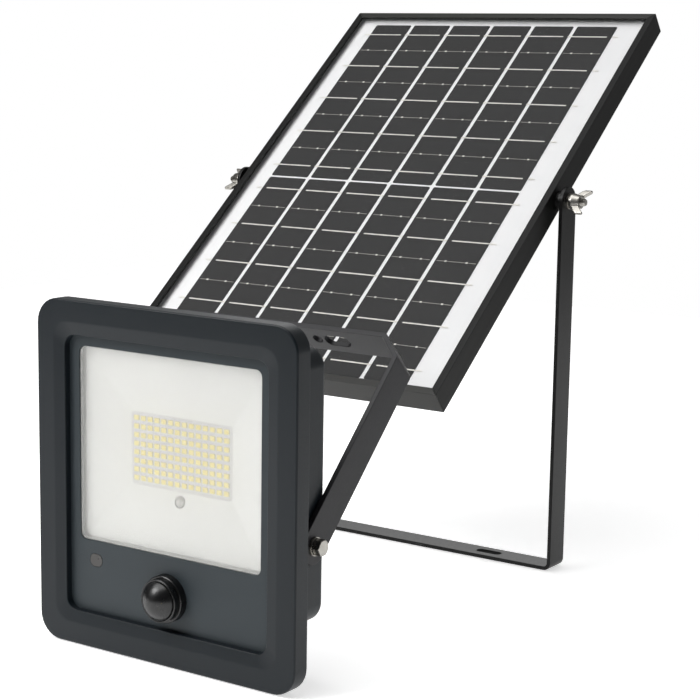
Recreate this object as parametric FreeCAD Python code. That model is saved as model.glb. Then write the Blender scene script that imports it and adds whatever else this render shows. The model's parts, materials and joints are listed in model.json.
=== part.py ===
"""Solar flood light: a tilting solar panel on a flat-bar bracket, and a lamp with its own yoke.

Frame: the origin is the centre of the bracket's foot, on its underside. X runs along the foot, Y towards
the back and Z up. The panel leans back over the foot, and the lamp stands in front of it, facing -Y.
"""
import FreeCAD, Part
import math
import os

V = FreeCAD.Vector
X_AXIS = V(1, 0, 0)
Y_AXIS = V(0, 1, 0)
Z_AXIS = V(0, 0, 1)
ORIGIN = V(0, 0, 0)

# ---- panel bracket (bent flat bar) ----
BAR_W = 18.5            # width of the bar
BAR_T = 2.5             # thickness of the bar
ARM_OUT = 127.0         # centre to the outer face of an arm
PIVOT_Z = 236.0         # height of the panel's pivot
BEND_R = 5.0            # outer radius of a bend
FOOT_SLOT_X = 77.0      # centre of each slot in the foot
FOOT_SLOT_LEN = 18.0
FOOT_SLOT_W = 6.5

# ---- solar panel ----
PANEL_W = 240.0
PANEL_L = 350.0
PANEL_T = 15.0
PANEL_LIFT = 2.8        # middle of the panel's thickness in front of its pivot axis
PANEL_LEAN = 51.0       # lean of the panel's length from the vertical, degrees
LIP_W = 5.0             # face width of the frame
LIP_T = 1.3
WALL_T = 1.4
SHELF_W = 7.0           # ledge under the laminate
SHELF_T = 1.2
FLANGE_W = 10.0         # inward flange at the back of the frame
GLASS_T = 3.2
CELL_T = 0.3
BACKSHEET_T = 0.7
CELL_W = 30.3
CELL_L = 165.5
CELL_GAP = 2.8          # between neighbouring strips
ROW_GAP = 1.7           # between the two rows of strips
CELL_CHAMFER = 0.7
COLUMNS = 6
FIELD_SHIFT = -4.0      # the cell field lies left of the middle
RIBBON_W = 0.9
RIBBON_T = 0.15
RIBBON_TAIL = 5.0       # end of a string on the white margin
RIBBON_SHORT = 3.6      # a ribbon stops this far from one edge of its strip
LINES_PER_STRIP = 9     # every other printed line carries a ribbon
LINE_PITCH = 17.9
BUSBAR_W = 0.35
PAD_W = 1.5
PAD_H = 1.1
SCREW_R = 1.5

# ---- M5 fixings of both pivots ----
M5_R = 2.5
M5_CLEAR_R = 2.55       # running hole for an M5 shank
WASHER_R = 5.0
WASHER_T = 1.0
SPRING_R = 4.6
SPRING_T = 1.3
SPRING_SLIT = 0.8
HEX_AF = 8.0            # across the flats
HEX_H = 3.5
HUB_H = 6.0
HUB_R = 5.4
WING_T = 2.4
WING_SPAN = 10.5        # axis to a wing's tip
WING_TURN = 42.0        # rest angle of the wings from the horizontal, degrees

# ---- lamp ----
LAMP_X = 45.0
LAMP_Y = -295.0         # front face of the lamp
LAMP_W = 176.0
LAMP_H = 192.0
RIM_D = 11.0            # depth of the bezel's rim
RIM_R = 14.0            # corner radius of the outline
BAND = 12.0             # flat band round the front
RING = 7.0              # sloped ring inside the band
RING_DROP = 1.3
RECESS = 5.2            # front face to the inner front panel
SHELL = 2.5             # wall of the mouldings
HOUSING_HALF = 80.5
HOUSING_Z0 = 31.0
HOUSING_Z1 = 177.5
HOUSING_Y = 36.7        # back of the rear housing
WINDOW_HALF = 62.0
WINDOW_Z0 = 59.3
WINDOW_Z1 = 167.0
FACE_T = 2.2            # inner front panel
PIR_Z = 36.5
PIR_R = 10.6
PIR_RISE = 6.5          # height of the lens's cap
PIR_LIP = 3.0           # the lens's rim stands this far in front of the lamp's front face
COLLAR_R = 12.9
EYE_X = -50.7           # remote-control receiver
EYE_Z = 48.4
EYE_HALF_X = 4.4
EYE_HALF_Z = 3.6
EYE_CORNER = 3.3
EYE_GAP = 0.1
LED_COLS = 14
LED_ROWS = 8
LED_PITCH = 4.75
LED_Z = 112.6           # centre of the LED field
BOARD_Y = 16.8          # front of the LED board
BOARD_T = 1.2
CELL_R = 9.0            # battery cell
CELL_H = 65.0

# ---- lamp yoke (bent flat bar) ----
YOKE_BAR = 20.0
YOKE_T = 3.0
YOKE_GAP = 0.5          # between the housing and an arm
YOKE_Y = 22.0           # pivot, behind the lamp's front face
YOKE_Z = 75.5
YOKE_REACH = 130.5      # pivot to the outside of the back bar
YOKE_CORNER = 14.0
YOKE_LIFT = 45.0        # rest angle of the arms above the horizontal, degrees
YOKE_SLOT_X = 34.5
YOKE_SLOT_LEN = 17.0
YOKE_SLOT_W = 8.8
YOKE_HOLE_X = 21.0
YOKE_HOLE_R = 3.15
YOKE_CENTRE_R = 4.25


# ---- small shapes ----
def box(x0, x1, y0, y1, z0, z1):
    return Part.makeBox(x1 - x0, y1 - y0, z1 - z0, V(x0, y0, z0))


def rod(radius, start, end):
    axis = end - start
    return Part.makeCylinder(radius, axis.Length, start, axis)


def ring(outer, inner, start, end):
    return rod(outer, start, end).cut(rod(inner, start, end))


def edges_along(shape, axis):
    picked = []
    for edge in shape.Edges:
        if len(edge.Vertexes) == 2 and edge.Curve.TypeId == "Part::GeomLine":
            if abs(edge.tangentAt(edge.FirstParameter).dot(axis)) > 0.999:
                picked.append(edge)
    return picked


def rounded(shape, axis, radius):
    return shape.makeFillet(radius, edges_along(shape, axis))


def plate(half_x, z0, z1, y0, y1, radius):
    """A plate facing -Y with rounded corners."""
    return rounded(box(-half_x, half_x, y0, y1, z0, z1), Y_AXIS, radius)


def outline(half_x, z0, z1, y, radius):
    """The closed wire of a rounded rectangle in the plane at y."""
    face = min(plate(half_x, z0, z1, y, y + 1.0, radius).Faces, key=lambda f: f.CenterOfMass.y)
    return face.OuterWire


def slot(x, y, z0, z1, length, width):
    """A round-ended slot along X, cut along Z."""
    run = (length - width) / 2
    cutter = box(x - run, x + run, y - width / 2, y + width / 2, z0, z1)
    for side in (-1, 1):
        cutter = cutter.fuse(rod(width / 2, V(x + side * run, y, z0), V(x + side * run, y, z1)))
    return cutter.removeSplitter()


def union(shapes):
    return shapes[0].multiFuse(shapes[1:]).removeSplitter()


def group(shapes):
    return Part.makeCompound(shapes)


def cut_all(shape, cutters):
    return shape.cut(Part.makeCompound(cutters)) if len(cutters) == 1 else shape.cut(union(cutters))


def mirrored(shape):
    return shape.mirror(ORIGIN, X_AXIS)


def turned(shape, centre, axis, angle):
    copy = shape.copy()
    copy.rotate(centre, axis, angle)
    return copy


def moved(shape, x, y, z):
    copy = shape.copy()
    copy.translate(V(x, y, z))
    return copy


parts = {}


# ---- panel bracket ----
def panel_bracket():
    half = BAR_W / 2
    outer = box(-ARM_OUT, ARM_OUT, -half, half, 0, PIVOT_Z + half)
    lower = [e for e in edges_along(outer, Y_AXIS) if e.CenterOfMass.z < BAR_T]
    outer = outer.makeFillet(BEND_R, lower)
    inside = ARM_OUT - BAR_T
    inner = box(-inside, inside, -half, half, BAR_T, PIVOT_Z + BAR_W)
    lower = [e for e in edges_along(inner, Y_AXIS) if e.CenterOfMass.z < BAR_T + 1]
    inner = inner.makeFillet(BEND_R - BAR_T, lower)
    bar = outer.cut(inner)
    keep = box(-ARM_OUT, ARM_OUT, -half, half, 0, PIVOT_Z)
    keep = keep.fuse(rod(half, V(-ARM_OUT, 0, PIVOT_Z), V(ARM_OUT, 0, PIVOT_Z)))
    bar = bar.common(keep)
    cutters = [rod(M5_CLEAR_R, V(-ARM_OUT - 1, 0, PIVOT_Z), V(ARM_OUT + 1, 0, PIVOT_Z))]
    for side in (-1, 1):
        cutters.append(slot(side * FOOT_SLOT_X, 0, -1, BAR_T + 1, FOOT_SLOT_LEN, FOOT_SLOT_W))
    return cut_all(bar, cutters).removeSplitter()


# ---- solar panel, built lying flat and face up, centred on the origin ----
FRONT = PANEL_T / 2
GLASS_TOP = FRONT - LIP_T
GLASS_LOW = GLASS_TOP - GLASS_T
CELL_LOW = GLASS_LOW - RIBBON_T - CELL_T
SHEET_LOW = CELL_LOW - BACKSHEET_T
FIELD_W = COLUMNS * CELL_W + (COLUMNS - 1) * CELL_GAP


def rail(half_across, half_along):
    """One side of the frame along Y, at +X, with both ends cut at 45 degrees."""
    x1 = half_across
    long = half_along
    section = union([
        box(x1 - WALL_T, x1, -long, long, -FRONT, FRONT),
        box(x1 - LIP_W, x1, -long, long, GLASS_TOP, FRONT),
        box(x1 - SHELF_W, x1, -long, long, SHEET_LOW - SHELF_T, SHEET_LOW),
        box(x1 - FLANGE_W, x1, -long, long, -FRONT, -FRONT + SHELF_T),
    ])
    inset = FLANGE_W + 1
    corners = [V(x1, -long, -PANEL_T), V(x1, long, -PANEL_T),
               V(x1 - inset, long - inset, -PANEL_T), V(x1 - inset, -long + inset, -PANEL_T)]
    mask = Part.Face(Part.makePolygon(corners + corners[:1])).extrude(V(0, 0, 2 * PANEL_T))
    return section.common(mask)


def frame_rails():
    half_w = PANEL_W / 2
    half_l = PANEL_L / 2
    side = rail(half_w, half_l)
    side = side.cut(rod(M5_R, V(half_w - WALL_T - 1, 0, -PANEL_LIFT), V(half_w + 1, 0, -PANEL_LIFT)))
    end = turned(rail(half_l, half_w), ORIGIN, Z_AXIS, 90)
    low = turned(end, ORIGIN, Z_AXIS, 180)
    return {"frame_rail_right": side, "frame_rail_left": mirrored(side),
            "frame_rail_top": end, "frame_rail_bottom": low}


def corner_keys():
    """A crimped-in angle inside each corner, between the ledge and the back flange."""
    arm = 22.0
    leg = 5.0
    top = SHEET_LOW - SHELF_T
    x1 = PANEL_W / 2 - WALL_T
    y1 = PANEL_L / 2 - WALL_T
    key = union([box(x1 - leg, x1, y1 - arm, y1, -FRONT + SHELF_T, top),
                 box(x1 - arm, x1, y1 - leg, y1, -FRONT + SHELF_T, top)])
    pair = [key, mirrored(key)]
    return group(pair + [k.mirror(ORIGIN, Y_AXIS) for k in pair])


def strip_origins():
    """The lower left corner of each cell strip, row by row."""
    left = FIELD_SHIFT - FIELD_W / 2
    for row in (-1, 1):
        y0 = ROW_GAP / 2 if row > 0 else -ROW_GAP / 2 - CELL_L
        for column in range(COLUMNS):
            yield left + column * (CELL_W + CELL_GAP), y0, column


def cell_strips():
    strips = []
    for x, y, _ in strip_origins():
        strip = box(x, x + CELL_W, y, y + CELL_L, CELL_LOW, CELL_LOW + CELL_T)
        strips.append(strip.makeChamfer(CELL_CHAMFER, edges_along(strip, Z_AXIS)))
    return group(strips)


def line_places(y0, first):
    """Every other printed line of a strip, counted from its lower end."""
    middle = (LINES_PER_STRIP - 1) / 2
    return [y0 + CELL_L / 2 + (index - middle) * LINE_PITCH for index in range(first, LINES_PER_STRIP, 2)]


def ribbon_spans(x, column, is_upper):
    """Where the ribbon on a strip starts and ends along X. The two rows are strung in opposite ways."""
    before = RIBBON_TAIL if column == 0 else CELL_GAP
    after = RIBBON_TAIL if column == COLUMNS - 1 else CELL_GAP
    edge = x + CELL_W
    if is_upper:
        spans = [(x - before, edge - RIBBON_SHORT)]
        if column == COLUMNS - 1:
            spans.append((edge + RIBBON_W / 2, edge + RIBBON_TAIL))
    else:
        spans = [(x + RIBBON_SHORT, edge + after)]
        if column == 0:
            spans.append((x - RIBBON_TAIL, x - RIBBON_W / 2))
    return spans


def ribbons():
    """Tinned ribbons joining each strip to the next."""
    low = CELL_LOW + CELL_T
    pieces = []
    for x, y0, column in strip_origins():
        for y in line_places(y0, 0):
            for start, end in ribbon_spans(x, column, y0 > 0):
                pieces.append(box(start, end, y - RIBBON_W / 2, y + RIBBON_W / 2, low, low + RIBBON_T))
    return group(pieces)


def busbars():
    """Bare printed silver lines between the ribbons, each with two solder pads."""
    low = CELL_LOW + CELL_T
    top = low + RIBBON_T / 2
    pieces = []
    for x, y0, _ in strip_origins():
        for y in line_places(y0, 1):
            line = [box(x + 1, x + CELL_W - 1, y - BUSBAR_W / 2, y + BUSBAR_W / 2, low, top)]
            for share in (0.25, 0.75):
                mid = x + share * CELL_W
                line.append(box(mid - PAD_W / 2, mid + PAD_W / 2, y - PAD_H / 2, y + PAD_H / 2, low, top))
            pieces.append(union(line))
    return group(pieces)


def laminate():
    half_w = PANEL_W / 2 - WALL_T - 0.1
    half_l = PANEL_L / 2 - WALL_T - 0.1
    return {"panel_glass": box(-half_w, half_w, -half_l, half_l, GLASS_LOW, GLASS_TOP),
            "backsheet": box(-half_w, half_w, -half_l, half_l, SHEET_LOW, CELL_LOW)}


JBOX_Y = 112.0
JBOX_HALF_X = 32.0
JBOX_HALF_Y = 25.0
JBOX_BASE = 10.5
JBOX_LID = 3.0
JBOX_WALL = 2.0
JBOX_INSET = 5.0        # end of the box to a lid screw
JBOX_PIN_R = 3.4
JBOX_SCREW_R = 1.0
JGLAND_R = 5.0
LEAD_R = 2.6            # bore for the lead


def junction_box():
    top = SHEET_LOW
    low = top - JBOX_BASE
    x1 = JBOX_HALF_X
    y0 = JBOX_Y - JBOX_HALF_Y
    y1 = JBOX_Y + JBOX_HALF_Y
    shell = rounded(box(-x1, x1, y0, y1, low, top), Z_AXIS, 4.0)
    inside = box(-x1 + JBOX_WALL, x1 - JBOX_WALL, y0 + JBOX_WALL, y1 - JBOX_WALL, low, top - JBOX_WALL)
    mid = (low + top) / 2
    lead = rod(LEAD_R + 1.4, V(0, y0 - 1, mid), V(0, y0 + JBOX_WALL + 1, mid))
    base = cut_all(shell, [rounded(inside, Z_AXIS, 2.5), lead])
    screw_xs = (JBOX_INSET - x1, x1 - JBOX_INSET)
    pins = [rod(JBOX_PIN_R, V(x, JBOX_Y, low), V(x, JBOX_Y, top - JBOX_WALL + 0.5)) for x in screw_xs]
    holes = [rod(JBOX_SCREW_R, V(x, JBOX_Y, low - 1), V(x, JBOX_Y, top - 3.0)) for x in screw_xs]
    base = cut_all(union([base] + pins), holes)
    lid = rounded(box(-x1, x1, y0, y1, low - JBOX_LID, low), Z_AXIS, 4.0)
    rim = [e for e in lid.Edges if e.CenterOfMass.z < low - JBOX_LID + 0.01]
    lid = lid.makeFillet(1.0, rim)
    face = low - JBOX_LID
    lid = cut_all(lid, [rod(JBOX_SCREW_R, V(x, JBOX_Y, face - 1), V(x, JBOX_Y, low + 1)) for x in screw_xs])
    screws = []
    for x in screw_xs:
        head = rod(2.2, V(x, JBOX_Y, face - 1.2), V(x, JBOX_Y, face))
        cross = box(x - 1.4, x + 1.4, JBOX_Y - 0.3, JBOX_Y + 0.3, face - 1.3, face - 0.6)
        cross = cross.fuse(box(x - 0.3, x + 0.3, JBOX_Y - 1.4, JBOX_Y + 1.4, face - 1.3, face - 0.6))
        shank = rod(JBOX_SCREW_R, V(x, JBOX_Y, face), V(x, JBOX_Y, top - 4.0))
        screws.append(union([head.cut(cross), shank]))
    gland = union([rod(LEAD_R + 1.4, V(0, y0 - 1, mid), V(0, y0 + JBOX_WALL + 0.5, mid)),
                   Part.makeCone(JGLAND_R, JGLAND_R - 1.0, 7.0, V(0, y0, mid), V(0, -1, 0))])
    gland = gland.cut(rod(LEAD_R, V(0, y0 - 8, mid), V(0, y0 + 4, mid)))
    terminal = box(-14, 14, JBOX_Y - 4, JBOX_Y + 8, top - JBOX_WALL - 5.0, top - JBOX_WALL)
    diode = rod(1.3, V(-5, JBOX_Y - 9, top - JBOX_WALL - 2), V(5, JBOX_Y - 9, top - JBOX_WALL - 2))
    return {"junction_box_base": base, "junction_box_lid": lid, "junction_box_screws": group(screws),
            "junction_box_gland": gland, "junction_box_terminals": group([terminal, diode])}


# ---- pivot fixings of the panel, with the pivot axis along X through the origin ----
ARM_IN = ARM_OUT - BAR_T
NUT_X = ARM_OUT + WASHER_T + SPRING_T
BAR_HEAD_W = 6.4        # T head that slides between the frame's ledge and flange
BAR_HEAD_L = 14.0
BAR_HEAD_T = 2.4
BOLT_TAIL = 3.2         # thread standing out of the wing nut


def pivot_fixings():
    """The right T bolt, through the frame and the bracket's arm, and all that sits on it."""
    half_w = PANEL_W / 2
    inside = half_w - WALL_T
    end = NUT_X + HUB_H + BOLT_TAIL
    shank = rod(M5_R, V(inside, 0, 0), V(end, 0, 0))
    shank = shank.makeChamfer(0.6, [e for e in shank.Edges if e.CenterOfMass.x > end - 0.01])
    head = box(inside - BAR_HEAD_T, inside, -BAR_HEAD_L / 2, BAR_HEAD_L / 2, -BAR_HEAD_W / 2, BAR_HEAD_W / 2)
    bolt = union([head, shank])
    spacer = ring(6.0, M5_R, V(half_w, 0, 0), V(ARM_IN, 0, 0))
    washer = ring(WASHER_R, M5_CLEAR_R, V(ARM_OUT, 0, 0), V(ARM_OUT + WASHER_T, 0, 0))
    spring = spring_washer(ARM_OUT + WASHER_T)
    return bolt, spacer, washer, spring


def spring_washer(x):
    """A split ring against the plane at x."""
    split = box(x - 1, x + SPRING_T + 1, 0, 2 * SPRING_R, -SPRING_SLIT / 2, SPRING_SLIT / 2)
    split = turned(split, V(x, 0, 0), Y_AXIS, 15)
    return ring(SPRING_R, M5_CLEAR_R, V(x, 0, 0), V(x + SPRING_T, 0, 0)).cut(split)


def wing_nut():
    """A cast wing nut for the right side: a tapered hub and two ears that spread outwards."""
    hub = Part.makeCone(HUB_R, HUB_R - 1.2, HUB_H, V(NUT_X, 0, 0), X_AXIS)
    ears = []
    for side in (1, -1):
        base = V(NUT_X + 0.8, side * 3.0, 0)
        tip_low = V(NUT_X + 5.5, side * (WING_SPAN - 0.8), 0)
        tip_mid = V(NUT_X + 9.2, side * WING_SPAN, 0)
        tip_high = V(NUT_X + 11.0, side * (WING_SPAN - 3.0), 0)
        root = V(NUT_X + HUB_H, side * 3.4, 0)
        wire = Part.Wire([Part.makeLine(base, tip_low), Part.Arc(tip_low, tip_mid, tip_high).toShape(),
                          Part.makeLine(tip_high, root), Part.makeLine(root, base)])
        ear = Part.Face(wire).extrude(V(0, 0, WING_T))
        ears.append(moved(ear, 0, 0, -WING_T / 2))
    nut = union([hub] + ears)
    nut = nut.cut(rod(M5_CLEAR_R, V(NUT_X - 1, 0, 0), V(NUT_X + HUB_H + 6, 0, 0)))
    return turned(nut, ORIGIN, X_AXIS, WING_TURN)


def build_panel():
    pieces = frame_rails()
    pieces.update(laminate())
    pieces["corner_keys"] = corner_keys()
    pieces["cell_strips"] = cell_strips()
    pieces["cell_ribbons"] = ribbons()
    pieces["cell_busbars"] = busbars()
    pieces.update(junction_box())
    for name, shape in pieces.items():
        pieces[name] = moved(shape, 0, 0, PANEL_LIFT)
    bolt, spacer, washer, spring = pivot_fixings()
    pieces["panel_pivot_bolts"] = group([bolt, mirrored(bolt)])
    pieces["panel_pivot_spacers"] = group([spacer, mirrored(spacer)])
    pieces["panel_pivot_washers"] = group([washer, mirrored(washer)])
    lean = 90.0 - PANEL_LEAN
    for name, shape in pieces.items():
        parts[name] = moved(turned(shape, ORIGIN, X_AXIS, lean), 0, 0, PIVOT_Z)
    nut = wing_nut()
    for side in ("right", "left"):
        own_spring = spring if side == "right" else mirrored(spring)
        own_nut = nut if side == "right" else mirrored(nut)
        parts["spring_washer_" + side] = moved(own_spring, 0, 0, PIVOT_Z)
        parts["wing_nut_" + side] = moved(own_nut, 0, 0, PIVOT_Z)


# ---- lamp, built with its front face at y = 0 and its lower edge at z = 0 ----
HALF_W = LAMP_W / 2
OPEN_INSET = BAND + RING
FACE_BACK = RECESS + FACE_T
SEAL_T = 0.5
PANE_T = 1.8
FLANGE_Y = 8.6          # front of the rear housing's flange
SCREW_XS = (-75.0, -25.0, 25.0, 75.0)
SCREW_INSET = 8.0
BOSS_R = 3.4


def inset_plate(inset, y0, y1, radius):
    return plate(HALF_W - inset, inset, LAMP_H - inset, y0, y1, radius)


def bezel_screw_places():
    return [(x, z) for x in SCREW_XS for z in (SCREW_INSET, LAMP_H - SCREW_INSET)]


def front_bezel():
    body = inset_plate(0, 0, RIM_D, RIM_R)
    front = [e for e in body.Edges if e.BoundBox.YMax < 0.01]
    body = body.makeFillet(1.2, front)
    crease = outline(HALF_W - BAND, BAND, LAMP_H - BAND, 0.0, 10.0)
    mouth = outline(HALF_W - OPEN_INSET, OPEN_INSET, LAMP_H - OPEN_INSET, RING_DROP, 7.0)
    slope = Part.makeLoft([crease, mouth], True)
    hollow = inset_plate(SHELL, SHELL, RIM_D, RIM_R - SHELL)
    hollow = hollow.cut(inset_plate(OPEN_INSET - SHELL, SHELL - 1, RECESS, 8.5))
    body = cut_all(body, [slope, inset_plate(OPEN_INSET, -1, RIM_D, 7.0)]).cut(hollow)
    bosses = [rod(BOSS_R, V(x, SHELL - 0.5, z), V(x, FLANGE_Y, z)) for x, z in bezel_screw_places()]
    pilot = [rod(SCREW_R, V(x, SHELL + 1, z), V(x, FLANGE_Y + 1, z)) for x, z in bezel_screw_places()]
    return cut_all(union([body] + bosses), pilot)


def face_panel():
    body = inset_plate(13.0, RECESS, FACE_BACK, 8.0)
    return cut_all(body, [
        plate(WINDOW_HALF, WINDOW_Z0, WINDOW_Z1, RECESS - 1, FACE_BACK + 1, 4.0),
        rod(COLLAR_R, V(0, RECESS - 1, PIR_Z), V(0, FACE_BACK + 1, PIR_Z)),
        moved(plate(EYE_HALF_X, EYE_Z - EYE_HALF_Z, EYE_Z + EYE_HALF_Z, RECESS - 1, FACE_BACK + 1,
                    EYE_CORNER), EYE_X, 0, 0),
    ])


def window_parts():
    y1 = FACE_BACK + SEAL_T
    land = 3.5
    pane = plate(WINDOW_HALF + land, WINDOW_Z0 - land, WINDOW_Z1 + land, y1, y1 + PANE_T, 6.0)
    pad = plate(WINDOW_HALF - 0.15, WINDOW_Z0 + 0.15, WINDOW_Z1 - 0.15, RECESS + 0.5, y1, 3.8)
    seal = plate(WINDOW_HALF + land, WINDOW_Z0 - land, WINDOW_Z1 + land, FACE_BACK, y1, 6.0)
    seal = seal.cut(plate(WINDOW_HALF + 0.2, WINDOW_Z0 - 0.2, WINDOW_Z1 + 0.2, FACE_BACK, y1, 4.0))
    return {"window": union([pane, pad]), "window_seal": seal}


TRAY_FRONT = FACE_BACK + SEAL_T + PANE_T
TRAY_WALL = 1.2
TRAY_FLOOR_HALF = 34.6
TRAY_FLOOR_Z0 = 92.0
TRAY_FLOOR_Z1 = 132.6
TRAY_SCREW_R = 3.6      # hole in the tray's wall over the board's screw


def reflector_tray():
    def funnel(grow):
        edge = grow - 1
        mouth = outline(WINDOW_HALF + edge, WINDOW_Z0 - edge, WINDOW_Z1 + edge, TRAY_FRONT, 3.0)
        floor = outline(TRAY_FLOOR_HALF + grow, TRAY_FLOOR_Z0 - grow, TRAY_FLOOR_Z1 + grow, BOARD_Y, 2.0)
        return Part.makeLoft([mouth, floor], True)
    flange = plate(WINDOW_HALF + 3, WINDOW_Z0 - 3, WINDOW_Z1 + 3, TRAY_FRONT, TRAY_FRONT + TRAY_WALL, 5.0)
    screw_hole = rod(TRAY_SCREW_R, V(0, TRAY_FRONT, BOARD_SCREW_Z), V(0, BOARD_Y + 1, BOARD_SCREW_Z))
    return union([flange, funnel(TRAY_WALL)]).cut(funnel(0.0)).cut(screw_hole)


LED_W = 3.5
LED_H = 2.8
LED_D = 0.7
BOARD_SCREW_Z = 87.0
LED_BOARD_HALF = 40.0
LED_BOARD_Z = (80.0, 136.0)
SPREADER_HALF = 46.0
SPREADER_Z = (75.0, 145.0)
SPREADER_T = 1.5


def led_parts():
    board = box(-LED_BOARD_HALF, LED_BOARD_HALF, BOARD_Y, BOARD_Y + BOARD_T, *LED_BOARD_Z)
    screw_z = BOARD_SCREW_Z
    board = board.cut(rod(SCREW_R, V(0, BOARD_Y - 1, screw_z), V(0, BOARD_Y + 3, screw_z)))
    leds = []
    for column in range(LED_COLS):
        for row in range(LED_ROWS):
            x = (column - (LED_COLS - 1) / 2) * LED_PITCH
            z = LED_Z + (row - (LED_ROWS - 1) / 2) * LED_PITCH
            led = box(-LED_W / 2, LED_W / 2, BOARD_Y - LED_D, BOARD_Y, -LED_H / 2, LED_H / 2)
            leds.append(moved(led, x, 0, z))
    head = rod(3.0, V(0, BOARD_Y - 1.6, screw_z), V(0, BOARD_Y, screw_z))
    cross = box(-1.8, 1.8, BOARD_Y - 2, BOARD_Y - 0.8, screw_z - 0.4, screw_z + 0.4)
    cross = cross.fuse(box(-0.4, 0.4, BOARD_Y - 2, BOARD_Y - 0.8, screw_z - 1.8, screw_z + 1.8))
    screw = union([head.cut(cross), rod(SCREW_R, V(0, BOARD_Y, screw_z), V(0, BOARD_Y + 4, screw_z))])
    back = BOARD_Y + BOARD_T
    spreader = box(-SPREADER_HALF, SPREADER_HALF, back, back + SPREADER_T, *SPREADER_Z)
    spreader = spreader.cut(rod(SCREW_R, V(0, back - 1, screw_z), V(0, back + 3, screw_z)))
    return {"led_board": board, "leds": group(leds), "led_board_screw": screw, "heat_spreader": spreader}


HOUSING_IN_Y = HOUSING_Y - SHELL
CONTROL_Y = 25.0
CONTROL_T = 1.6
CONTROL_HALF = 42.0
CONTROL_Z = (92.0, 146.0)
CHIPS = [                # x0, x1, z0, z1 and height of each block on the control board
    (-30, -18, 118, 130, 1.8),
    (-8, -2, 122, 130, 1.4),
    (14, 24, 104, 114, 5.0),
    (-34, -22, 95, 101, 6.0),
    (22, 34, 95, 101, 6.0),
]
BATTERY_ZS = (46.0, 65.6)
BATTERY_Y = 24.2
TERMINAL_R = 3.0
TERMINAL_H = 1.2
TRAY_HALF = 67.5        # half width of the battery tray
TRAY_EDGE = 11.5        # centre of a cell to the tray's edge


def electronics():
    board = box(-CONTROL_HALF, CONTROL_HALF, CONTROL_Y, CONTROL_Y + CONTROL_T, *CONTROL_Z)
    back = CONTROL_Y + CONTROL_T
    chips = [box(x0, x1, back, back + height, z0, z1) for x0, x1, z0, z1, height in CHIPS]
    capacitor = rod(4.0, V(32, back, 132), V(32, back + 7.0, 132))
    cells = []
    for x0 in (-CELL_H - 1, 1):
        for z in BATTERY_ZS:
            shoulder = x0 + CELL_H - TERMINAL_H
            can = rod(CELL_R, V(x0, BATTERY_Y, z), V(shoulder, BATTERY_Y, z))
            cap = rod(TERMINAL_R, V(shoulder, BATTERY_Y, z), V(x0 + CELL_H, BATTERY_Y, z))
            cells.append(union([can, cap]))
    tray = box(-TRAY_HALF, TRAY_HALF, BATTERY_Y, HOUSING_IN_Y,
               BATTERY_ZS[0] - TRAY_EDGE, BATTERY_ZS[1] + TRAY_EDGE)
    bed = TRAY_HALF - 1.2
    tray = cut_all(tray, [rod(CELL_R, V(-bed, BATTERY_Y, z), V(bed, BATTERY_Y, z)) for z in BATTERY_ZS])
    return {"control_board": board, "control_parts": group(chips + [capacitor]),
            "battery_cells": group(cells), "battery_tray": tray}


def lens_shape(radius, rise, back):
    """A shallow cap on a short tube that reaches back to the plane y = back."""
    ball_r = (radius ** 2 + rise ** 2) / (2 * rise)
    ball = Part.makeSphere(ball_r, V(0, ball_r - rise - PIR_LIP, PIR_Z))
    tube = rod(radius, V(0, -PIR_LIP, PIR_Z), V(0, back, PIR_Z))
    reach = rod(radius, V(0, -PIR_LIP - rise - 1, PIR_Z), V(0, -PIR_LIP, PIR_Z))
    return union([ball.common(reach), tube])


def motion_sensor():
    back = FACE_BACK
    collar = union([rod(COLLAR_R, V(0, 0.8, PIR_Z), V(0, back, PIR_Z)),
                    rod(COLLAR_R - 1.1, V(0, -PIR_LIP, PIR_Z), V(0, 2, PIR_Z)),
                    rod(COLLAR_R + 1.2, V(0, back, PIR_Z), V(0, back + 1.0, PIR_Z))])
    rims = [e for e in collar.Edges if e.CenterOfMass.y < 0.9 and e.Curve.TypeId == "Part::GeomCircle"]
    collar = collar.makeFillet(0.4, rims)
    collar = collar.cut(rod(PIR_R + 0.1, V(0, -PIR_LIP - 1, PIR_Z), V(0, back + 2, PIR_Z)))
    cover = lens_shape(PIR_R, PIR_RISE, back).cut(lens_shape(PIR_R - 0.9, PIR_RISE - 0.9, back + 1))
    can = rod(4.6, V(0, 2.0, PIR_Z), V(0, 6.4, PIR_Z))
    base = rod(4.9, V(0, 6.4, PIR_Z), V(0, 7.2, PIR_Z))
    leg = rod(0.25, V(0, 7.0, PIR_Z), V(0, 9.2, PIR_Z))
    legs = [moved(leg, x, 0, z) for x, z in ((-1.8, 0), (1.8, 0), (0, 1.8))]
    board = box(-58, 24, 9.2, 10.6, HOUSING_Z0 + SHELL + 0.3, 54)
    board = board.cut(box(-47, -20, 9, 11, 30, 40))
    eye = box(EYE_X - 2.5, EYE_X + 2.5, 8.0, 9.2, EYE_Z - 2.5, EYE_Z + 2.5)
    low = EYE_Z - EYE_HALF_Z + EYE_GAP
    high = EYE_Z + EYE_HALF_Z - EYE_GAP
    lens = plate(EYE_HALF_X - EYE_GAP, low, high, RECESS, FACE_BACK, EYE_CORNER - EYE_GAP)
    lens = moved(lens, EYE_X, 0, 0)
    return {"pir_collar": collar, "pir_dome": cover, "pir_sensor": union([can, base] + legs),
            "pir_board": board, "receiver_chip": eye, "receiver_lens": lens}


GLAND_X = -38.0
GLAND_Z = 48.0
GLAND_R = 6.0
VENT_X = 38.0
VENT_R = 3.0
BOLT_BOSS_R = 6.5
YOKE_PAD_R = 11.0       # raised pad that the yoke's arm turns on
BOLT_IN = 70.0          # inner end of a yoke bolt
RIB_XS = range(-60, 61, 15)


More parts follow.
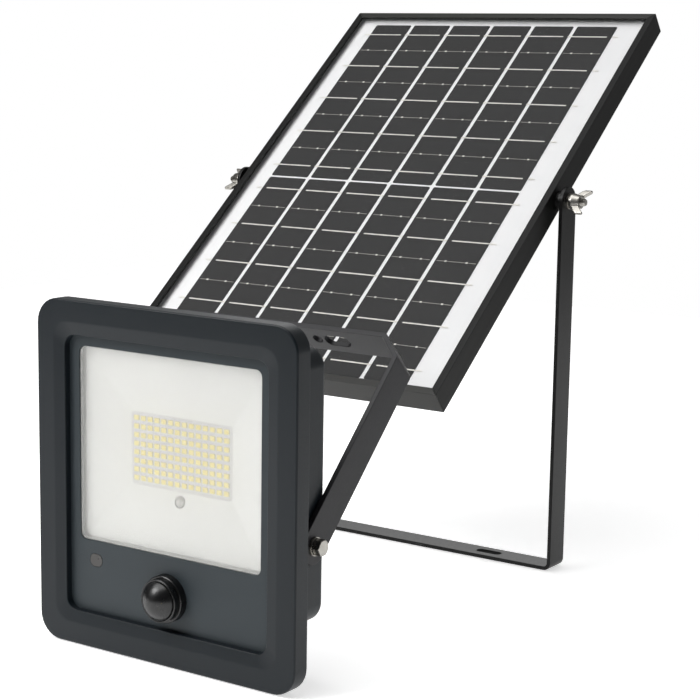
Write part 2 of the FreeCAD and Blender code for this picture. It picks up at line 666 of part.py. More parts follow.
def housing_posts():
    """Posts from the back wall to the control board and the heat spreader."""
    posts = []
    for x in (-38, 38):
        for z in (96, 142):
            posts.append(rod(2.5, V(x, CONTROL_Y + CONTROL_T, z), V(x, HOUSING_IN_Y + 1, z)))
    for z in (80, 141):
        for x in (-44.3, 44.3):
            posts.append(rod(1.6, V(x, BOARD_Y + BOARD_T + SPREADER_T, z), V(x, HOUSING_IN_Y + 1, z)))
    return posts


def rear_housing():
    bump = plate(HOUSING_HALF, HOUSING_Z0, HOUSING_Z1, FLANGE_Y, HOUSING_Y, 11.0)
    rear = [e for e in bump.Edges if e.BoundBox.YMin > HOUSING_Y - 0.01]
    bump = bump.makeFillet(4.5, rear)
    ribs = []
    for x in RIB_XS:
        rib = box(x - 1.1, x + 1.1, HOUSING_Y - 1, HOUSING_Y + 2.0, 88, 164)
        ends = [e for e in edges_along(rib, X_AXIS) if e.CenterOfMass.y > HOUSING_Y]
        ribs.append(rib.makeFillet(1.0, ends))
    flange = inset_plate(SHELL + 0.2, FLANGE_Y, RIM_D, RIM_R - SHELL - 0.2)
    solid = union([flange, bump] + ribs)
    cavity = plate(HOUSING_HALF - SHELL, HOUSING_Z0 + SHELL, HOUSING_Z1 - SHELL, RIM_D, HOUSING_IN_Y, 8.5)
    mouth = plate(69.0, HOUSING_Z0 + SHELL, 173.0, FLANGE_Y - 1, RIM_D + 1, 7.0)
    shell = cut_all(solid, [cavity, mouth])
    adds = housing_posts()
    holes = []
    face = HOUSING_HALF + YOKE_GAP
    boss = union([rod(BOLT_BOSS_R, V(BOLT_IN - 2, YOKE_Y, YOKE_Z), V(HOUSING_HALF, YOKE_Y, YOKE_Z)),
                  rod(YOKE_PAD_R, V(HOUSING_HALF - 1, YOKE_Y, YOKE_Z), V(face, YOKE_Y, YOKE_Z))])
    hole = rod(M5_R, V(BOLT_IN, YOKE_Y, YOKE_Z), V(face + 1, YOKE_Y, YOKE_Z))
    adds += [boss, mirrored(boss)]
    holes += [hole, mirrored(hole)]
    for x, radius in ((GLAND_X, GLAND_R - 1.5), (VENT_X, VENT_R)):
        holes.append(rod(radius, V(x, HOUSING_IN_Y - 1, GLAND_Z), V(x, HOUSING_Y + 1, GLAND_Z)))
    for x, z in bezel_screw_places():
        holes.append(rod(SCREW_R + 0.1, V(x, FLANGE_Y - 1, z), V(x, RIM_D + 1, z)))
    shell = cut_all(union([shell] + adds), holes)
    return shell


def housing_extras():
    gasket = inset_plate(14.0, FACE_BACK, FLANGE_Y, 7.0).cut(inset_plate(18.0, FACE_BACK, FLANGE_Y, 4.0))
    screws = []
    for x, z in bezel_screw_places():
        head = rod(2.8, V(x, RIM_D, z), V(x, RIM_D + 1.8, z))
        cross = box(x - 1.7, x + 1.7, RIM_D + 0.9, RIM_D + 2, z - 0.35, z + 0.35)
        cross = cross.fuse(box(x - 0.35, x + 0.35, RIM_D + 0.9, RIM_D + 2, z - 1.7, z + 1.7))
        screws.append(union([head.cut(cross), rod(SCREW_R, V(x, SHELL + 1.2, z), V(x, RIM_D, z))]))
    y0 = HOUSING_Y
    nose = union([rod(GLAND_R - 1.5, V(GLAND_X, HOUSING_IN_Y, GLAND_Z), V(GLAND_X, y0, GLAND_Z)),
                  rod(GLAND_R + 1.0, V(GLAND_X, y0, GLAND_Z), V(GLAND_X, y0 + 2.5, GLAND_Z)),
                  rod(GLAND_R - 1.5, V(GLAND_X, y0 + 2.5, GLAND_Z), V(GLAND_X, y0 + 8.0, GLAND_Z))])
    nose = nose.cut(rod(LEAD_R, V(GLAND_X, y0 - 5, GLAND_Z), V(GLAND_X, y0 + 9, GLAND_Z)))
    cap = prism(6, GLAND_R + 0.8, V(GLAND_X, y0 + 2.5, GLAND_Z), V(0, 8.0, 0))
    cap = cut_all(cap, [rod(GLAND_R - 1.5, V(GLAND_X, y0 + 2, GLAND_Z), V(GLAND_X, y0 + 8.0, GLAND_Z)),
                        rod(LEAD_R, V(GLAND_X, y0 + 7, GLAND_Z), V(GLAND_X, y0 + 12, GLAND_Z))])
    vent = union([rod(VENT_R, V(VENT_X, HOUSING_IN_Y, GLAND_Z), V(VENT_X, y0, GLAND_Z)),
                  rod(VENT_R + 2.0, V(VENT_X, y0, GLAND_Z), V(VENT_X, y0 + 1.6, GLAND_Z))])
    return {"housing_gasket": gasket, "bezel_screws": group(screws), "lead_gland": nose,
            "lead_gland_cap": cap, "breather_vent": vent}


def prism(sides, radius, base, height):
    """A regular prism round the axis from base along height, radius to its corners."""
    across = height.cross(X_AXIS) if abs(height.dot(X_AXIS)) < 0.5 * height.Length else height.cross(Z_AXIS)
    across.normalize()
    points = []
    for index in range(sides):
        spoke = FreeCAD.Rotation(height, 360.0 * index / sides).multVec(across * radius)
        points.append(base + spoke)
    return Part.Face(Part.makePolygon(points + points[:1])).extrude(height)


def yoke_fixings():
    """Bolt and washers of the yoke's right pivot."""
    x = HOUSING_HALF + YOKE_GAP + YOKE_T
    washer = ring(WASHER_R, M5_R, V(x, 0, 0), V(x + WASHER_T, 0, 0))
    spring = ring(SPRING_R, M5_R, V(x + WASHER_T, 0, 0), V(x + WASHER_T + SPRING_T, 0, 0))
    slit = box(x, x + 4, 0, 6, -SPRING_SLIT / 2, SPRING_SLIT / 2)
    spring = spring.cut(turned(slit, V(x, 0, 0), Y_AXIS, 15))
    head_x = x + WASHER_T + SPRING_T
    head = prism(6, HEX_AF / math.sqrt(3), V(head_x, 0, 0), V(HEX_H, 0, 0))
    crown = Part.makeCone(HEX_AF, HEX_AF / 2, HEX_AF / 4 + 0.2, V(head_x + HEX_H - HEX_AF / 4, 0, 0), X_AXIS)
    head = head.common(union([rod(HEX_AF, V(head_x, 0, 0), V(head_x + HEX_H - HEX_AF / 4, 0, 0)), crown]))
    bolt = union([rod(M5_R, V(BOLT_IN, 0, 0), V(head_x, 0, 0)), head])
    return {"yoke_bolts": bolt, "yoke_washers": washer, "yoke_spring_washers": spring}


YOKE_OUT = HOUSING_HALF + YOKE_GAP + YOKE_T


def yoke_bend(inset, low, fold_r):
    """The outline of the bent bar, inset from its outside, as a solid as wide as the bar."""
    out = YOKE_OUT - inset
    reach = YOKE_REACH - inset
    corner = YOKE_CORNER - inset * (2 - math.sqrt(2))
    points = [V(out, 0, low), V(out, 0, reach - corner), V(out - corner, 0, reach)]
    points += [V(-p.x, 0, p.z) for p in reversed(points)]
    profile = Part.Face(Part.makePolygon(points + points[:1]))
    solid = moved(profile.extrude(V(0, YOKE_BAR, 0)), 0, -YOKE_BAR / 2, 0)
    folds = [e for e in edges_along(solid, Y_AXIS) if e.CenterOfMass.z > 0]
    return solid.makeFillet(fold_r, folds)


def yoke():
    """The yoke with its arms upright, before it is laid back, with its pivot axis along X at the origin."""
    half = YOKE_BAR / 2
    bar = yoke_bend(0, -half, 4.5).cut(yoke_bend(YOKE_T, -half - 1, 1.5))
    keep = box(-YOKE_OUT, YOKE_OUT, -half, half, 0, YOKE_REACH)
    keep = keep.fuse(rod(half, V(-YOKE_OUT, 0, 0), V(YOKE_OUT, 0, 0)))
    bar = bar.common(keep)
    top = YOKE_REACH + 1
    low = YOKE_REACH - YOKE_T - 1
    cutters = [rod(M5_CLEAR_R, V(-YOKE_OUT - 1, 0, 0), V(YOKE_OUT + 1, 0, 0)),
               rod(YOKE_CENTRE_R, V(0, 0, low), V(0, 0, top))]
    for side in (-1, 1):
        cutters.append(slot(side * YOKE_SLOT_X, 0, low, top, YOKE_SLOT_LEN, YOKE_SLOT_W))
        cutters.append(rod(YOKE_HOLE_R, V(side * YOKE_HOLE_X, 0, low), V(side * YOKE_HOLE_X, 0, top)))
    return cut_all(bar, cutters).removeSplitter()


def build_lamp():
    pieces = {"front_bezel": front_bezel(), "face_panel": face_panel(), "rear_housing": rear_housing(),
              "reflector_tray": reflector_tray()}
    pieces.update(window_parts())
    pieces.update(led_parts())
    pieces.update(electronics())
    pieces.update(motion_sensor())
    pieces.update(housing_extras())
    for name, right in yoke_fixings().items():
        pieces[name] = moved(group([right, mirrored(right)]), 0, YOKE_Y, YOKE_Z)
    laid_back = turned(yoke(), ORIGIN, X_AXIS, YOKE_LIFT - 90.0)
    pieces["yoke"] = moved(laid_back, 0, YOKE_Y, YOKE_Z)
    for name, shape in pieces.items():
        parts[name] = moved(shape, LAMP_X, LAMP_Y, 0)


def check_and_save():
    os.makedirs("parts", exist_ok=True)
    for name, shape in parts.items():
        solids = len(shape.Solids)
        print(name, "solids", solids, "valid", shape.isValid(), "volume", round(shape.Volume, 1))
        shape.exportStep(os.path.join("parts", name + ".step"))
    print(len(parts), "nodes")


parts["panel_bracket"] = panel_bracket()
build_panel()
build_lamp()
check_and_save()
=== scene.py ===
import json
import math

import bpy
from mathutils import Matrix, Quaternion, Vector


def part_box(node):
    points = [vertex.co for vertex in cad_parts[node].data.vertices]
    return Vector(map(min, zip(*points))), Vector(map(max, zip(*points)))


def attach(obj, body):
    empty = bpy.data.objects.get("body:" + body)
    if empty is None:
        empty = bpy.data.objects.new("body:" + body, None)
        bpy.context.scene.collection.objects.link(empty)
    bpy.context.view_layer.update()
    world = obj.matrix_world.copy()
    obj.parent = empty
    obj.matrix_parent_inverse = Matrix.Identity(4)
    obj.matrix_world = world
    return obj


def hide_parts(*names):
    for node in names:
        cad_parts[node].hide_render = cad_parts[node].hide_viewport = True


# Solar flood light: the lamp and its solar panel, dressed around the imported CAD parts.
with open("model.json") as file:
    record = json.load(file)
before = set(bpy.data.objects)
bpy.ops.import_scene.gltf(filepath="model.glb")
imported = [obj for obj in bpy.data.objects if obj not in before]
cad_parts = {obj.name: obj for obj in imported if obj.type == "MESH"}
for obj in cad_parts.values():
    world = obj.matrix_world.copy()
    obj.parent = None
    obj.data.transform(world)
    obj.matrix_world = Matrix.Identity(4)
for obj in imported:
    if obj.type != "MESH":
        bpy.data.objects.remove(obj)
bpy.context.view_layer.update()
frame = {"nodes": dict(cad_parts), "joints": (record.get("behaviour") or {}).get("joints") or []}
nodes = frame["nodes"]
joints = {joint["name"]: joint for joint in frame["joints"]}
mm = 0.001
bpy.ops.object.select_all(action="DESELECT")

panelPivot = Vector(joints["panel_tilt"]["pos_m"])
yokePivot = Vector(joints["yoke_tilt"]["pos_m"])
panelRise = math.radians(39)  # the panel's rise from lying flat
alongX = Vector((1, 0, 0))
alongY = Vector((0, 1, 0))
alongZ = Vector((0, 0, 1))


# small tools
def hexColour(code):  # sRGB hex to the linear values that Blender mixes
    shares = [int(code[i:i + 2], 16) / 255 for i in (0, 2, 4)]
    return (*[s / 12.92 if s <= 0.04045 else ((s + 0.055) / 1.055) ** 2.4 for s in shares], 1.0)


def addNode(tree, kind, settings=None, links=None):  # one node with its settings and what feeds it
    node = tree.nodes.new(kind)
    for name, value in (settings or {}).items():
        if isinstance(name, str) and name not in node.inputs:
            setattr(node, name, value)
        else:
            node.inputs[name].default_value = value
    for name, source in (links or {}).items():
        tree.links.new(source, node.inputs[name])
    return node


def startMaterial(name, settings):  # a Principled material, read in Object coordinates
    material = bpy.data.materials.new(name)
    material.use_nodes = True
    tree = material.node_tree
    tree.nodes.clear()
    shader = addNode(tree, "ShaderNodeBsdfPrincipled", settings)
    addNode(tree, "ShaderNodeOutputMaterial", links={"Surface": shader.outputs[0]})
    place = addNode(tree, "ShaderNodeTexCoord").outputs["Object"]
    return material, tree, shader, place


def makeActive(piece):
    bpy.ops.object.select_all(action="DESELECT")
    piece.select_set(True)
    bpy.context.view_layer.objects.active = piece


def editAll(piece):
    makeActive(piece)
    bpy.ops.object.mode_set(mode="EDIT")
    bpy.ops.mesh.select_all(action="SELECT")


def pick(piece, kind, test):  # enters edit mode with the parts of the mesh chosen that pass the test
    if piece.mode == "EDIT":
        bpy.ops.object.mode_set(mode="OBJECT")
    makeActive(piece)
    mesh = piece.data
    for group in (mesh.vertices, mesh.edges, mesh.polygons):
        group.foreach_set("select", [False] * len(group))
    spots = [v.co for v in mesh.vertices]
    if kind == "FACE":
        for face in mesh.polygons:
            face.select = test(face.center, face.normal)
    elif kind == "EDGE":
        for edge in mesh.edges:
            edge.select = test(spots[edge.vertices[0]], spots[edge.vertices[1]])
    else:
        for vertex in mesh.vertices:
            vertex.select = test(vertex.co)
    bpy.context.tool_settings.mesh_select_mode = (kind == "VERT", kind == "EDGE", kind == "FACE")
    bpy.ops.object.mode_set(mode="EDIT")


def applyModifier(piece, kind, settings):
    makeActive(piece)
    modifier = piece.modifiers.new(kind.lower(), kind)
    for name, value in settings.items():
        setattr(modifier, name, value)
    bpy.ops.object.modifier_apply(modifier=modifier.name)


def softenEdges(piece, width, angle=30, segments=2):  # the small radius that catches the light on an edge
    applyModifier(piece, "BEVEL", {"width": width, "segments": segments, "limit_method": "ANGLE",
                                   "angle_limit": math.radians(angle), "use_clamp_overlap": False})


def finishPiece(piece, body, material, replaced=(), smooth=35):
    if piece.mode == "EDIT":
        bpy.ops.object.mode_set(mode="OBJECT")
    makeActive(piece)
    bpy.ops.object.transform_apply(location=True, rotation=True, scale=True)
    bpy.ops.object.shade_smooth_by_angle(angle=math.radians(smooth))
    applyModifier(piece, "WEIGHTED_NORMAL", {"keep_sharp": True, "weight": 80})  # broad faces stay flat
    piece.data.materials.clear()
    piece.data.materials.append(material)
    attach(piece, body)
    if replaced:
        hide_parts(*replaced)
    return piece


def joinPieces(name, pieces):
    bpy.ops.object.select_all(action="DESELECT")
    for piece in pieces:
        piece.select_set(True)
    bpy.context.view_layer.objects.active = pieces[0]
    bpy.ops.object.join()
    pieces[0].name = name
    return pieces[0]


def copyPiece(piece, shift):  # a copy with its own mesh, moved in its mesh
    makeActive(piece)
    bpy.ops.object.duplicate(linked=False)
    twin = bpy.context.view_layer.objects.active
    twin.location = Vector(twin.location) + Vector(shift)
    bpy.ops.object.transform_apply(location=True, rotation=True, scale=True)
    return twin


def mirrorPiece(piece, planeX):  # the other hand of a piece, across the plane x = planeX
    twin = copyPiece(piece, (0, 0, 0))
    editAll(twin)
    bpy.ops.transform.mirror(constraint_axis=(True, False, False), center_override=(planeX, 0, 0))
    bpy.ops.mesh.normals_make_consistent(inside=False)
    bpy.ops.object.mode_set(mode="OBJECT")
    return twin


def addBlock(name, low, high):  # a block between two corners
    low = Vector(low)
    high = Vector(high)
    bpy.ops.mesh.primitive_cube_add(size=1, location=(low + high) / 2)
    piece = bpy.context.view_layer.objects.active
    piece.name = name
    piece.scale = high - low
    bpy.ops.object.transform_apply(location=True, rotation=True, scale=True)
    return piece


def turnedPiece(name, origin, axis, profile, steps=48):  # profile: (radius, distance along the axis)
    side = alongZ if abs(axis.z) < 0.9 else alongX
    points = [origin + side * radius + axis * along for radius, along in profile]
    bpy.ops.mesh.primitive_plane_add(size=mm, location=points[0])
    piece = bpy.context.view_layer.objects.active
    piece.name = name
    bpy.ops.object.transform_apply(location=True, rotation=True, scale=True)
    bpy.context.tool_settings.mesh_select_mode = (True, False, False)
    editAll(piece)
    bpy.ops.mesh.merge(type="CENTER")
    for before, after in zip(points, points[1:]):
        bpy.ops.mesh.extrude_region_move(TRANSFORM_OT_translate={"value": after - before})
    bpy.ops.mesh.select_all(action="SELECT")
    bpy.ops.mesh.spin(steps=steps, angle=2 * math.pi, center=origin, axis=axis)
    bpy.ops.mesh.select_all(action="SELECT")
    bpy.ops.mesh.remove_doubles(threshold=0.002 * mm)
    bpy.ops.mesh.normals_make_consistent(inside=False)
    bpy.ops.object.mode_set(mode="OBJECT")
    return piece


def onRing(spot, ring):  # true where a point lies on a rounded rectangle that faces -Y
    middle, halfWide, halfHigh, radius = ring
    across = abs(spot.x - middle.x) - halfWide + radius
    up = abs(spot.z - middle.z) - halfHigh + radius
    gap = math.hypot(max(across, 0), max(up, 0)) + min(max(across, up), 0) - radius
    return abs(gap) < 0.02 * mm and abs(spot.y - middle.y) < 0.01 * mm


def bridgedRings(name, rings, closed, capped, segments=8):
    # a shell through rounded rectangles, one after another; no two neighbours lie at quite the same depth
    outlines = []
    for middle, halfWide, halfHigh, radius in rings:
        bpy.ops.mesh.primitive_plane_add(size=2, location=middle, rotation=(math.pi / 2, 0, 0))
        outline = bpy.context.view_layer.objects.active
        outline.scale = (halfWide, halfHigh, 1)
        bpy.ops.object.transform_apply(location=True, rotation=True, scale=True)
        bpy.context.tool_settings.mesh_select_mode = (True, False, False)
        editAll(outline)
        bpy.ops.mesh.bevel(offset=radius, segments=segments, affect="VERTICES", offset_type="OFFSET")
        bpy.ops.mesh.select_all(action="SELECT")
        bpy.ops.mesh.delete(type="ONLY_FACE")
        bpy.ops.object.mode_set(mode="OBJECT")
        outlines.append(outline)
    piece = joinPieces(name, outlines)
    pairs = list(zip(rings, rings[1:])) + ([(rings[-1], rings[0])] if closed else [])
    for near, far in pairs:
        pick(piece, "EDGE", lambda a, b: any(onRing(a, r) and onRing(b, r) for r in (near, far)))
        bpy.ops.mesh.bridge_edge_loops()
    for ring in capped:
        pick(piece, "EDGE", lambda a, b: onRing(a, ring) and onRing(b, ring))
        bpy.ops.mesh.edge_face_add()
    bpy.ops.mesh.select_all(action="SELECT")
    bpy.ops.mesh.normals_make_consistent(inside=False)
    bpy.ops.object.mode_set(mode="OBJECT")
    return piece


def softCopy(node, name, width):  # a merged copy of a CAD node with its edges softened
    piece = bpy.data.objects.new(name, nodes[node].data.copy())
    bpy.context.scene.collection.objects.link(piece)
    makeActive(piece)
    bpy.ops.mesh.customdata_custom_splitnormals_clear()
    editAll(piece)
    bpy.ops.mesh.remove_doubles(threshold=0.004 * mm)
    bpy.ops.mesh.dissolve_limited(angle_limit=math.radians(0.5))
    bpy.ops.object.mode_set(mode="OBJECT")
    softenEdges(piece, width)
    return piece


# materials
def powderCoat(name, look):  # baked powder on steel: satin, with a faint orange peel and a cloudy tone
    smoother = 0.06
    rougher = 0.08
    material, tree, shader, place = startMaterial(name, {"IOR": 1.5, "Specular IOR Level": look["shine"]})
    peel = addNode(tree, "ShaderNodeTexNoise", {"Scale": 1 / (look["peelMm"] * mm), "Detail": 3.0},
                   {"Vector": place})
    cloud = addNode(tree, "ShaderNodeTexNoise", {"Scale": 1 / (look["cloudMm"] * mm), "Detail": 2.0},
                    {"Vector": place})
    colour = addNode(tree, "ShaderNodeValToRGB", links={"Fac": cloud.outputs["Fac"]})
    colour.color_ramp.elements[0].position = 0.35
    colour.color_ramp.elements[0].color = hexColour(look["dark"])
    colour.color_ramp.elements[1].position = 0.65
    colour.color_ramp.elements[1].color = hexColour(look["light"])
    rough = addNode(tree, "ShaderNodeMapRange",
                    {"To Min": look["rough"] - smoother, "To Max": look["rough"] + rougher},
                    {"Value": peel.outputs["Fac"]})
    bump = addNode(tree, "ShaderNodeBump", {"Strength": 0.25, "Distance": 0.05 * mm},
                   {"Height": peel.outputs["Fac"]})
    tree.links.new(colour.outputs["Color"], shader.inputs["Base Color"])
    tree.links.new(rough.outputs["Result"], shader.inputs["Roughness"])
    tree.links.new(bump.outputs["Normal"], shader.inputs["Normal"])
    return material


def mouldedPlastic(name, look):  # ABS from a spark-eroded mould: a fine even grain that breaks up the shine
    smoother = 0.05
    rougher = 0.06
    flowMm = 45
    material, tree, shader, place = startMaterial(name, {"IOR": 1.52, "Specular IOR Level": look["shine"]})
    grain = addNode(tree, "ShaderNodeTexVoronoi",
                    {"Scale": 1 / (look["grainMm"] * mm), "feature": "SMOOTH_F1"}, {"Vector": place})
    flow = addNode(tree, "ShaderNodeTexNoise", {"Scale": 1 / (flowMm * mm), "Detail": 2.0}, {"Vector": place})
    colour = addNode(tree, "ShaderNodeMix",
                     {"data_type": "RGBA", 6: hexColour(look["dark"]), 7: hexColour(look["light"])},
                     {0: flow.outputs["Fac"]})
    rough = addNode(tree, "ShaderNodeMapRange",
                    {"To Min": look["rough"] - smoother, "To Max": look["rough"] + rougher},
                    {"Value": grain.outputs["Distance"]})
    bump = addNode(tree, "ShaderNodeBump", {"Strength": look["depth"], "Distance": 0.04 * mm},
                   {"Height": grain.outputs["Distance"]})
    tree.links.new(colour.outputs[2], shader.inputs["Base Color"])
    tree.links.new(rough.outputs["Result"], shader.inputs["Roughness"])
    tree.links.new(bump.outputs["Normal"], shader.inputs["Normal"])
    return material


def anodisedAluminium(name, look):  # black dye in an extruded bar: dark satin, with die lines along it
    smoother = 0.08
    rougher = 0.1
    material, tree, shader, place = startMaterial(name, {"IOR": 1.5, "Specular IOR Level": look["shine"]})
    laid = addNode(tree, "ShaderNodeMapping", {"Rotation": (-panelRise, 0, 0)}, {"Vector": place})
    drawn = addNode(tree, "ShaderNodeMapping", {"Scale": look["stretch"]}, {"Vector": laid.outputs[0]})
    lines = addNode(tree, "ShaderNodeTexNoise", {"Scale": 1 / (look["lineMm"] * mm), "Detail": 2.0},
                    {"Vector": drawn.outputs[0]})
    colour = addNode(tree, "ShaderNodeMix",
                     {"data_type": "RGBA", 6: hexColour(look["dark"]), 7: hexColour(look["light"])},
                     {0: lines.outputs["Fac"]})
    rough = addNode(tree, "ShaderNodeMapRange",
                    {"To Min": look["rough"] - smoother, "To Max": look["rough"] + rougher},
                    {"Value": lines.outputs["Fac"]})
    bump = addNode(tree, "ShaderNodeBump", {"Strength": 0.3, "Distance": 0.03 * mm},
                   {"Height": lines.outputs["Fac"]})
    tree.links.new(colour.outputs[2], shader.inputs["Base Color"])
    tree.links.new(rough.outputs["Result"], shader.inputs["Roughness"])
    tree.links.new(bump.outputs["Normal"], shader.inputs["Normal"])
    return material


def platedSteel(name, look):  # zinc or bare stainless: bright metal, clouded, with fine tool marks
    smoother = 0.08
    rougher = 0.12
    markMm = 0.5
    material, tree, shader, place = startMaterial(name, {"Metallic": look["metal"]})
    cloud = addNode(tree, "ShaderNodeTexNoise", {"Scale": 1 / (look["cloudMm"] * mm), "Detail": 4.0},
                    {"Vector": place})
    marks = addNode(tree, "ShaderNodeTexNoise", {"Scale": 1 / (markMm * mm), "Detail": 2.0},
                    {"Vector": place})
    colour = addNode(tree, "ShaderNodeMix",
                     {"data_type": "RGBA", 6: hexColour(look["dark"]), 7: hexColour(look["light"])},
                     {0: cloud.outputs["Fac"]})
    rough = addNode(tree, "ShaderNodeMapRange",
                    {"To Min": look["rough"] - smoother, "To Max": look["rough"] + rougher},
                    {"Value": cloud.outputs["Fac"]})
    bump = addNode(tree, "ShaderNodeBump", {"Strength": 0.2, "Distance": 0.03 * mm},
                   {"Height": marks.outputs["Fac"]})
    tree.links.new(colour.outputs[2], shader.inputs["Base Color"])
    tree.links.new(rough.outputs["Result"], shader.inputs["Roughness"])
    tree.links.new(bump.outputs["Normal"], shader.inputs["Normal"])
    return material


def siliconCell(name, look):  # textured silicon: near black, with the slant hatch of its printed fingers
    bandsPerMetre = 1 / (look["pitchMm"] * mm)
    material, tree, shader, place = startMaterial(name, {"IOR": 1.6, "Specular IOR Level": look["shine"],
                                                         "Roughness": 0.5})
    flat = addNode(tree, "ShaderNodeMapping", {"Rotation": (-panelRise, 0, math.radians(look["slant"]))},
                   {"Vector": place})
    hatch = addNode(tree, "ShaderNodeTexWave",  # at scale 1 its bands come 20 to every 2 pi metres
                    {"Scale": bandsPerMetre / 20 * 2 * math.pi, "Distortion": 0.0, "Detail": 0.0,
                     "wave_profile": "TRI"}, {"Vector": flat.outputs[0]})
    cloud = addNode(tree, "ShaderNodeTexNoise", {"Scale": 1 / (look["cloudMm"] * mm), "Detail": 3.0},
                    {"Vector": place})
    base = addNode(tree, "ShaderNodeMix",
                   {"data_type": "RGBA", 6: hexColour(look["dark"]), 7: hexColour(look["light"])},
                   {0: cloud.outputs["Fac"]})
    share = addNode(tree, "ShaderNodeMath", {"operation": "MULTIPLY", 1: look["contrast"]},
                    {0: hatch.outputs["Fac"]})
    colour = addNode(tree, "ShaderNodeMix", {"data_type": "RGBA", 7: hexColour(look["finger"])},
                     {0: share.outputs[0], 6: base.outputs[2]})
    tree.links.new(colour.outputs[2], shader.inputs["Base Color"])
    return material


def whiteSheet(name, look):  # PET laminate or glossy moulding: an even white, very slightly mottled
    material, tree, shader, place = startMaterial(name, {"IOR": 1.5, "Roughness": look["rough"]})
    mottle = addNode(tree, "ShaderNodeTexNoise", {"Scale": 1 / (look["mottleMm"] * mm), "Detail": 3.0},
                     {"Vector": place})
    colour = addNode(tree, "ShaderNodeMix",
                     {"data_type": "RGBA", 6: hexColour(look["dark"]), 7: hexColour(look["light"])},
                     {0: mottle.outputs["Fac"]})
    tree.links.new(colour.outputs[2], shader.inputs["Base Color"])
    return material


def lowIronGlass(name, look):  # toughened solar glass: it nearly vanishes but for a soft sheen
    material, tree, shader, place = startMaterial(name, {"IOR": 1.3, "Alpha": look["alpha"],
                                                         "Roughness": 0.3})
    mist = addNode(tree, "ShaderNodeTexNoise", {"Scale": 1 / (look["mistMm"] * mm), "Detail": 2.0},
                   {"Vector": place})
    colour = addNode(tree, "ShaderNodeMix",
                     {"data_type": "RGBA", 6: hexColour(look["dark"]), 7: hexColour(look["light"])},
                     {0: mist.outputs["Fac"]})
    tree.links.new(colour.outputs[2], shader.inputs["Base Color"])
    return material


def frostedPolycarbonate(name, look):  # milky diffuser: hides the tray's edges but lets the LED rows show
    material, tree, shader, place = startMaterial(name, {"IOR": 1.58, "Alpha": look["alpha"],
                                                         "Roughness": 0.5, "Specular IOR Level": 0.3})
    haze = addNode(tree, "ShaderNodeTexNoise", {"Scale": 1 / (look["hazeMm"] * mm), "Detail": 2.0},
                   {"Vector": place})
    pits = addNode(tree, "ShaderNodeTexNoise", {"Scale": 1 / (look["pitMm"] * mm), "Detail": 1.0},
                   {"Vector": place})
    colour = addNode(tree, "ShaderNodeMix",
                     {"data_type": "RGBA", 6: hexColour(look["dark"]), 7: hexColour(look["light"])},
                     {0: haze.outputs["Fac"]})
    bump = addNode(tree, "ShaderNodeBump", {"Strength": 0.12, "Distance": 0.03 * mm},
                   {"Height": pits.outputs["Fac"]})
    tree.links.new(colour.outputs[2], shader.inputs["Base Color"])
    tree.links.new(bump.outputs["Normal"], shader.inputs["Normal"])
    return material


def tracedBoard(name, look):  # solder mask over copper: the tracks show as slightly lighter, raised lanes
    material, tree, shader, place = startMaterial(name, {"IOR": 1.5, "Roughness": 0.32})
    lanes = addNode(tree, "ShaderNodeTexBrick",
                    {"Scale": 1.0, "Brick Width": 6 * mm, "Row Height": 1.5 * mm, "Mortar Size": 0.25 * mm,
                     "Color1": hexColour(look["dark"]), "Color2": hexColour(look["light"]),
                     "Mortar": hexColour(look["dark"])})
    turn = addNode(tree, "ShaderNodeMapping", {"Rotation": (math.pi / 2, 0, 0)}, {"Vector": place})
    tree.links.new(turn.outputs[0], lanes.inputs["Vector"])
    bump = addNode(tree, "ShaderNodeBump", {"Strength": 0.2, "Distance": 0.03 * mm},
                   {"Height": lanes.outputs["Fac"]})
    tree.links.new(lanes.outputs["Color"], shader.inputs["Base Color"])
    tree.links.new(bump.outputs["Normal"], shader.inputs["Normal"])
    return material


satinBlack = powderCoat("satinBlackPowderCoat", {
    "dark": "0c0c0c", "light": "131313", "rough": 0.34, "peelMm": 1.4, "cloudMm": 60, "shine": 0.22})
charcoalCoat = powderCoat("charcoalPowderCoat", {
    "dark": "1a1a1d", "light": "212124", "rough": 0.42, "peelMm": 1.2, "cloudMm": 60, "shine": 0.3})
lampAbs = mouldedPlastic("anthraciteAbs", {
    "dark": "0e151a", "light": "131a1f", "rough": 0.4, "shine": 0.26, "grainMm": 0.9, "depth": 0.25})
# painted light: the face panel is the same moulding as the lamp body but gets a much lighter colour, as if it
# caught more light; only its finer grain and roughness are real
litFaceAbs = mouldedPlastic("finelyGrainedAbsPaintedLight", {
    "dark": "2a3135", "light": "31383c", "rough": 0.5, "shine": 0.3, "grainMm": 0.7, "depth": 0.3})
blackAbs = mouldedPlastic("blackAbs", {
    "dark": "121212", "light": "1b1b1b", "rough": 0.4, "shine": 0.5, "grainMm": 0.8, "depth": 0.2})
lensBlack = mouldedPlastic("infraRedPolyethylene", {
    "dark": "070708", "light": "0c0c0d", "rough": 0.3, "shine": 0.5, "grainMm": 4.0, "depth": 0.02})
receiverBlack = mouldedPlastic("receiverAcrylic", {
    "dark": "2c2a28", "light": "34312f", "rough": 0.3, "shine": 0.5, "grainMm": 3.0, "depth": 0.02})
silicone = mouldedPlastic("siliconeRubber", {
    "dark": "141414", "light": "1c1c1c", "rough": 0.62, "shine": 0.5, "grainMm": 1.5, "depth": 0.2})
chipEpoxy = mouldedPlastic("chipEpoxy", {
    "dark": "0e0e0e", "light": "181818", "rough": 0.5, "shine": 0.5, "grainMm": 0.4, "depth": 0.3})
cellSleeve = mouldedPlastic("shrinkSleeve", {
    "dark": "1d4f86", "light": "245a94", "rough": 0.28, "shine": 0.5, "grainMm": 3.0, "depth": 0.1})
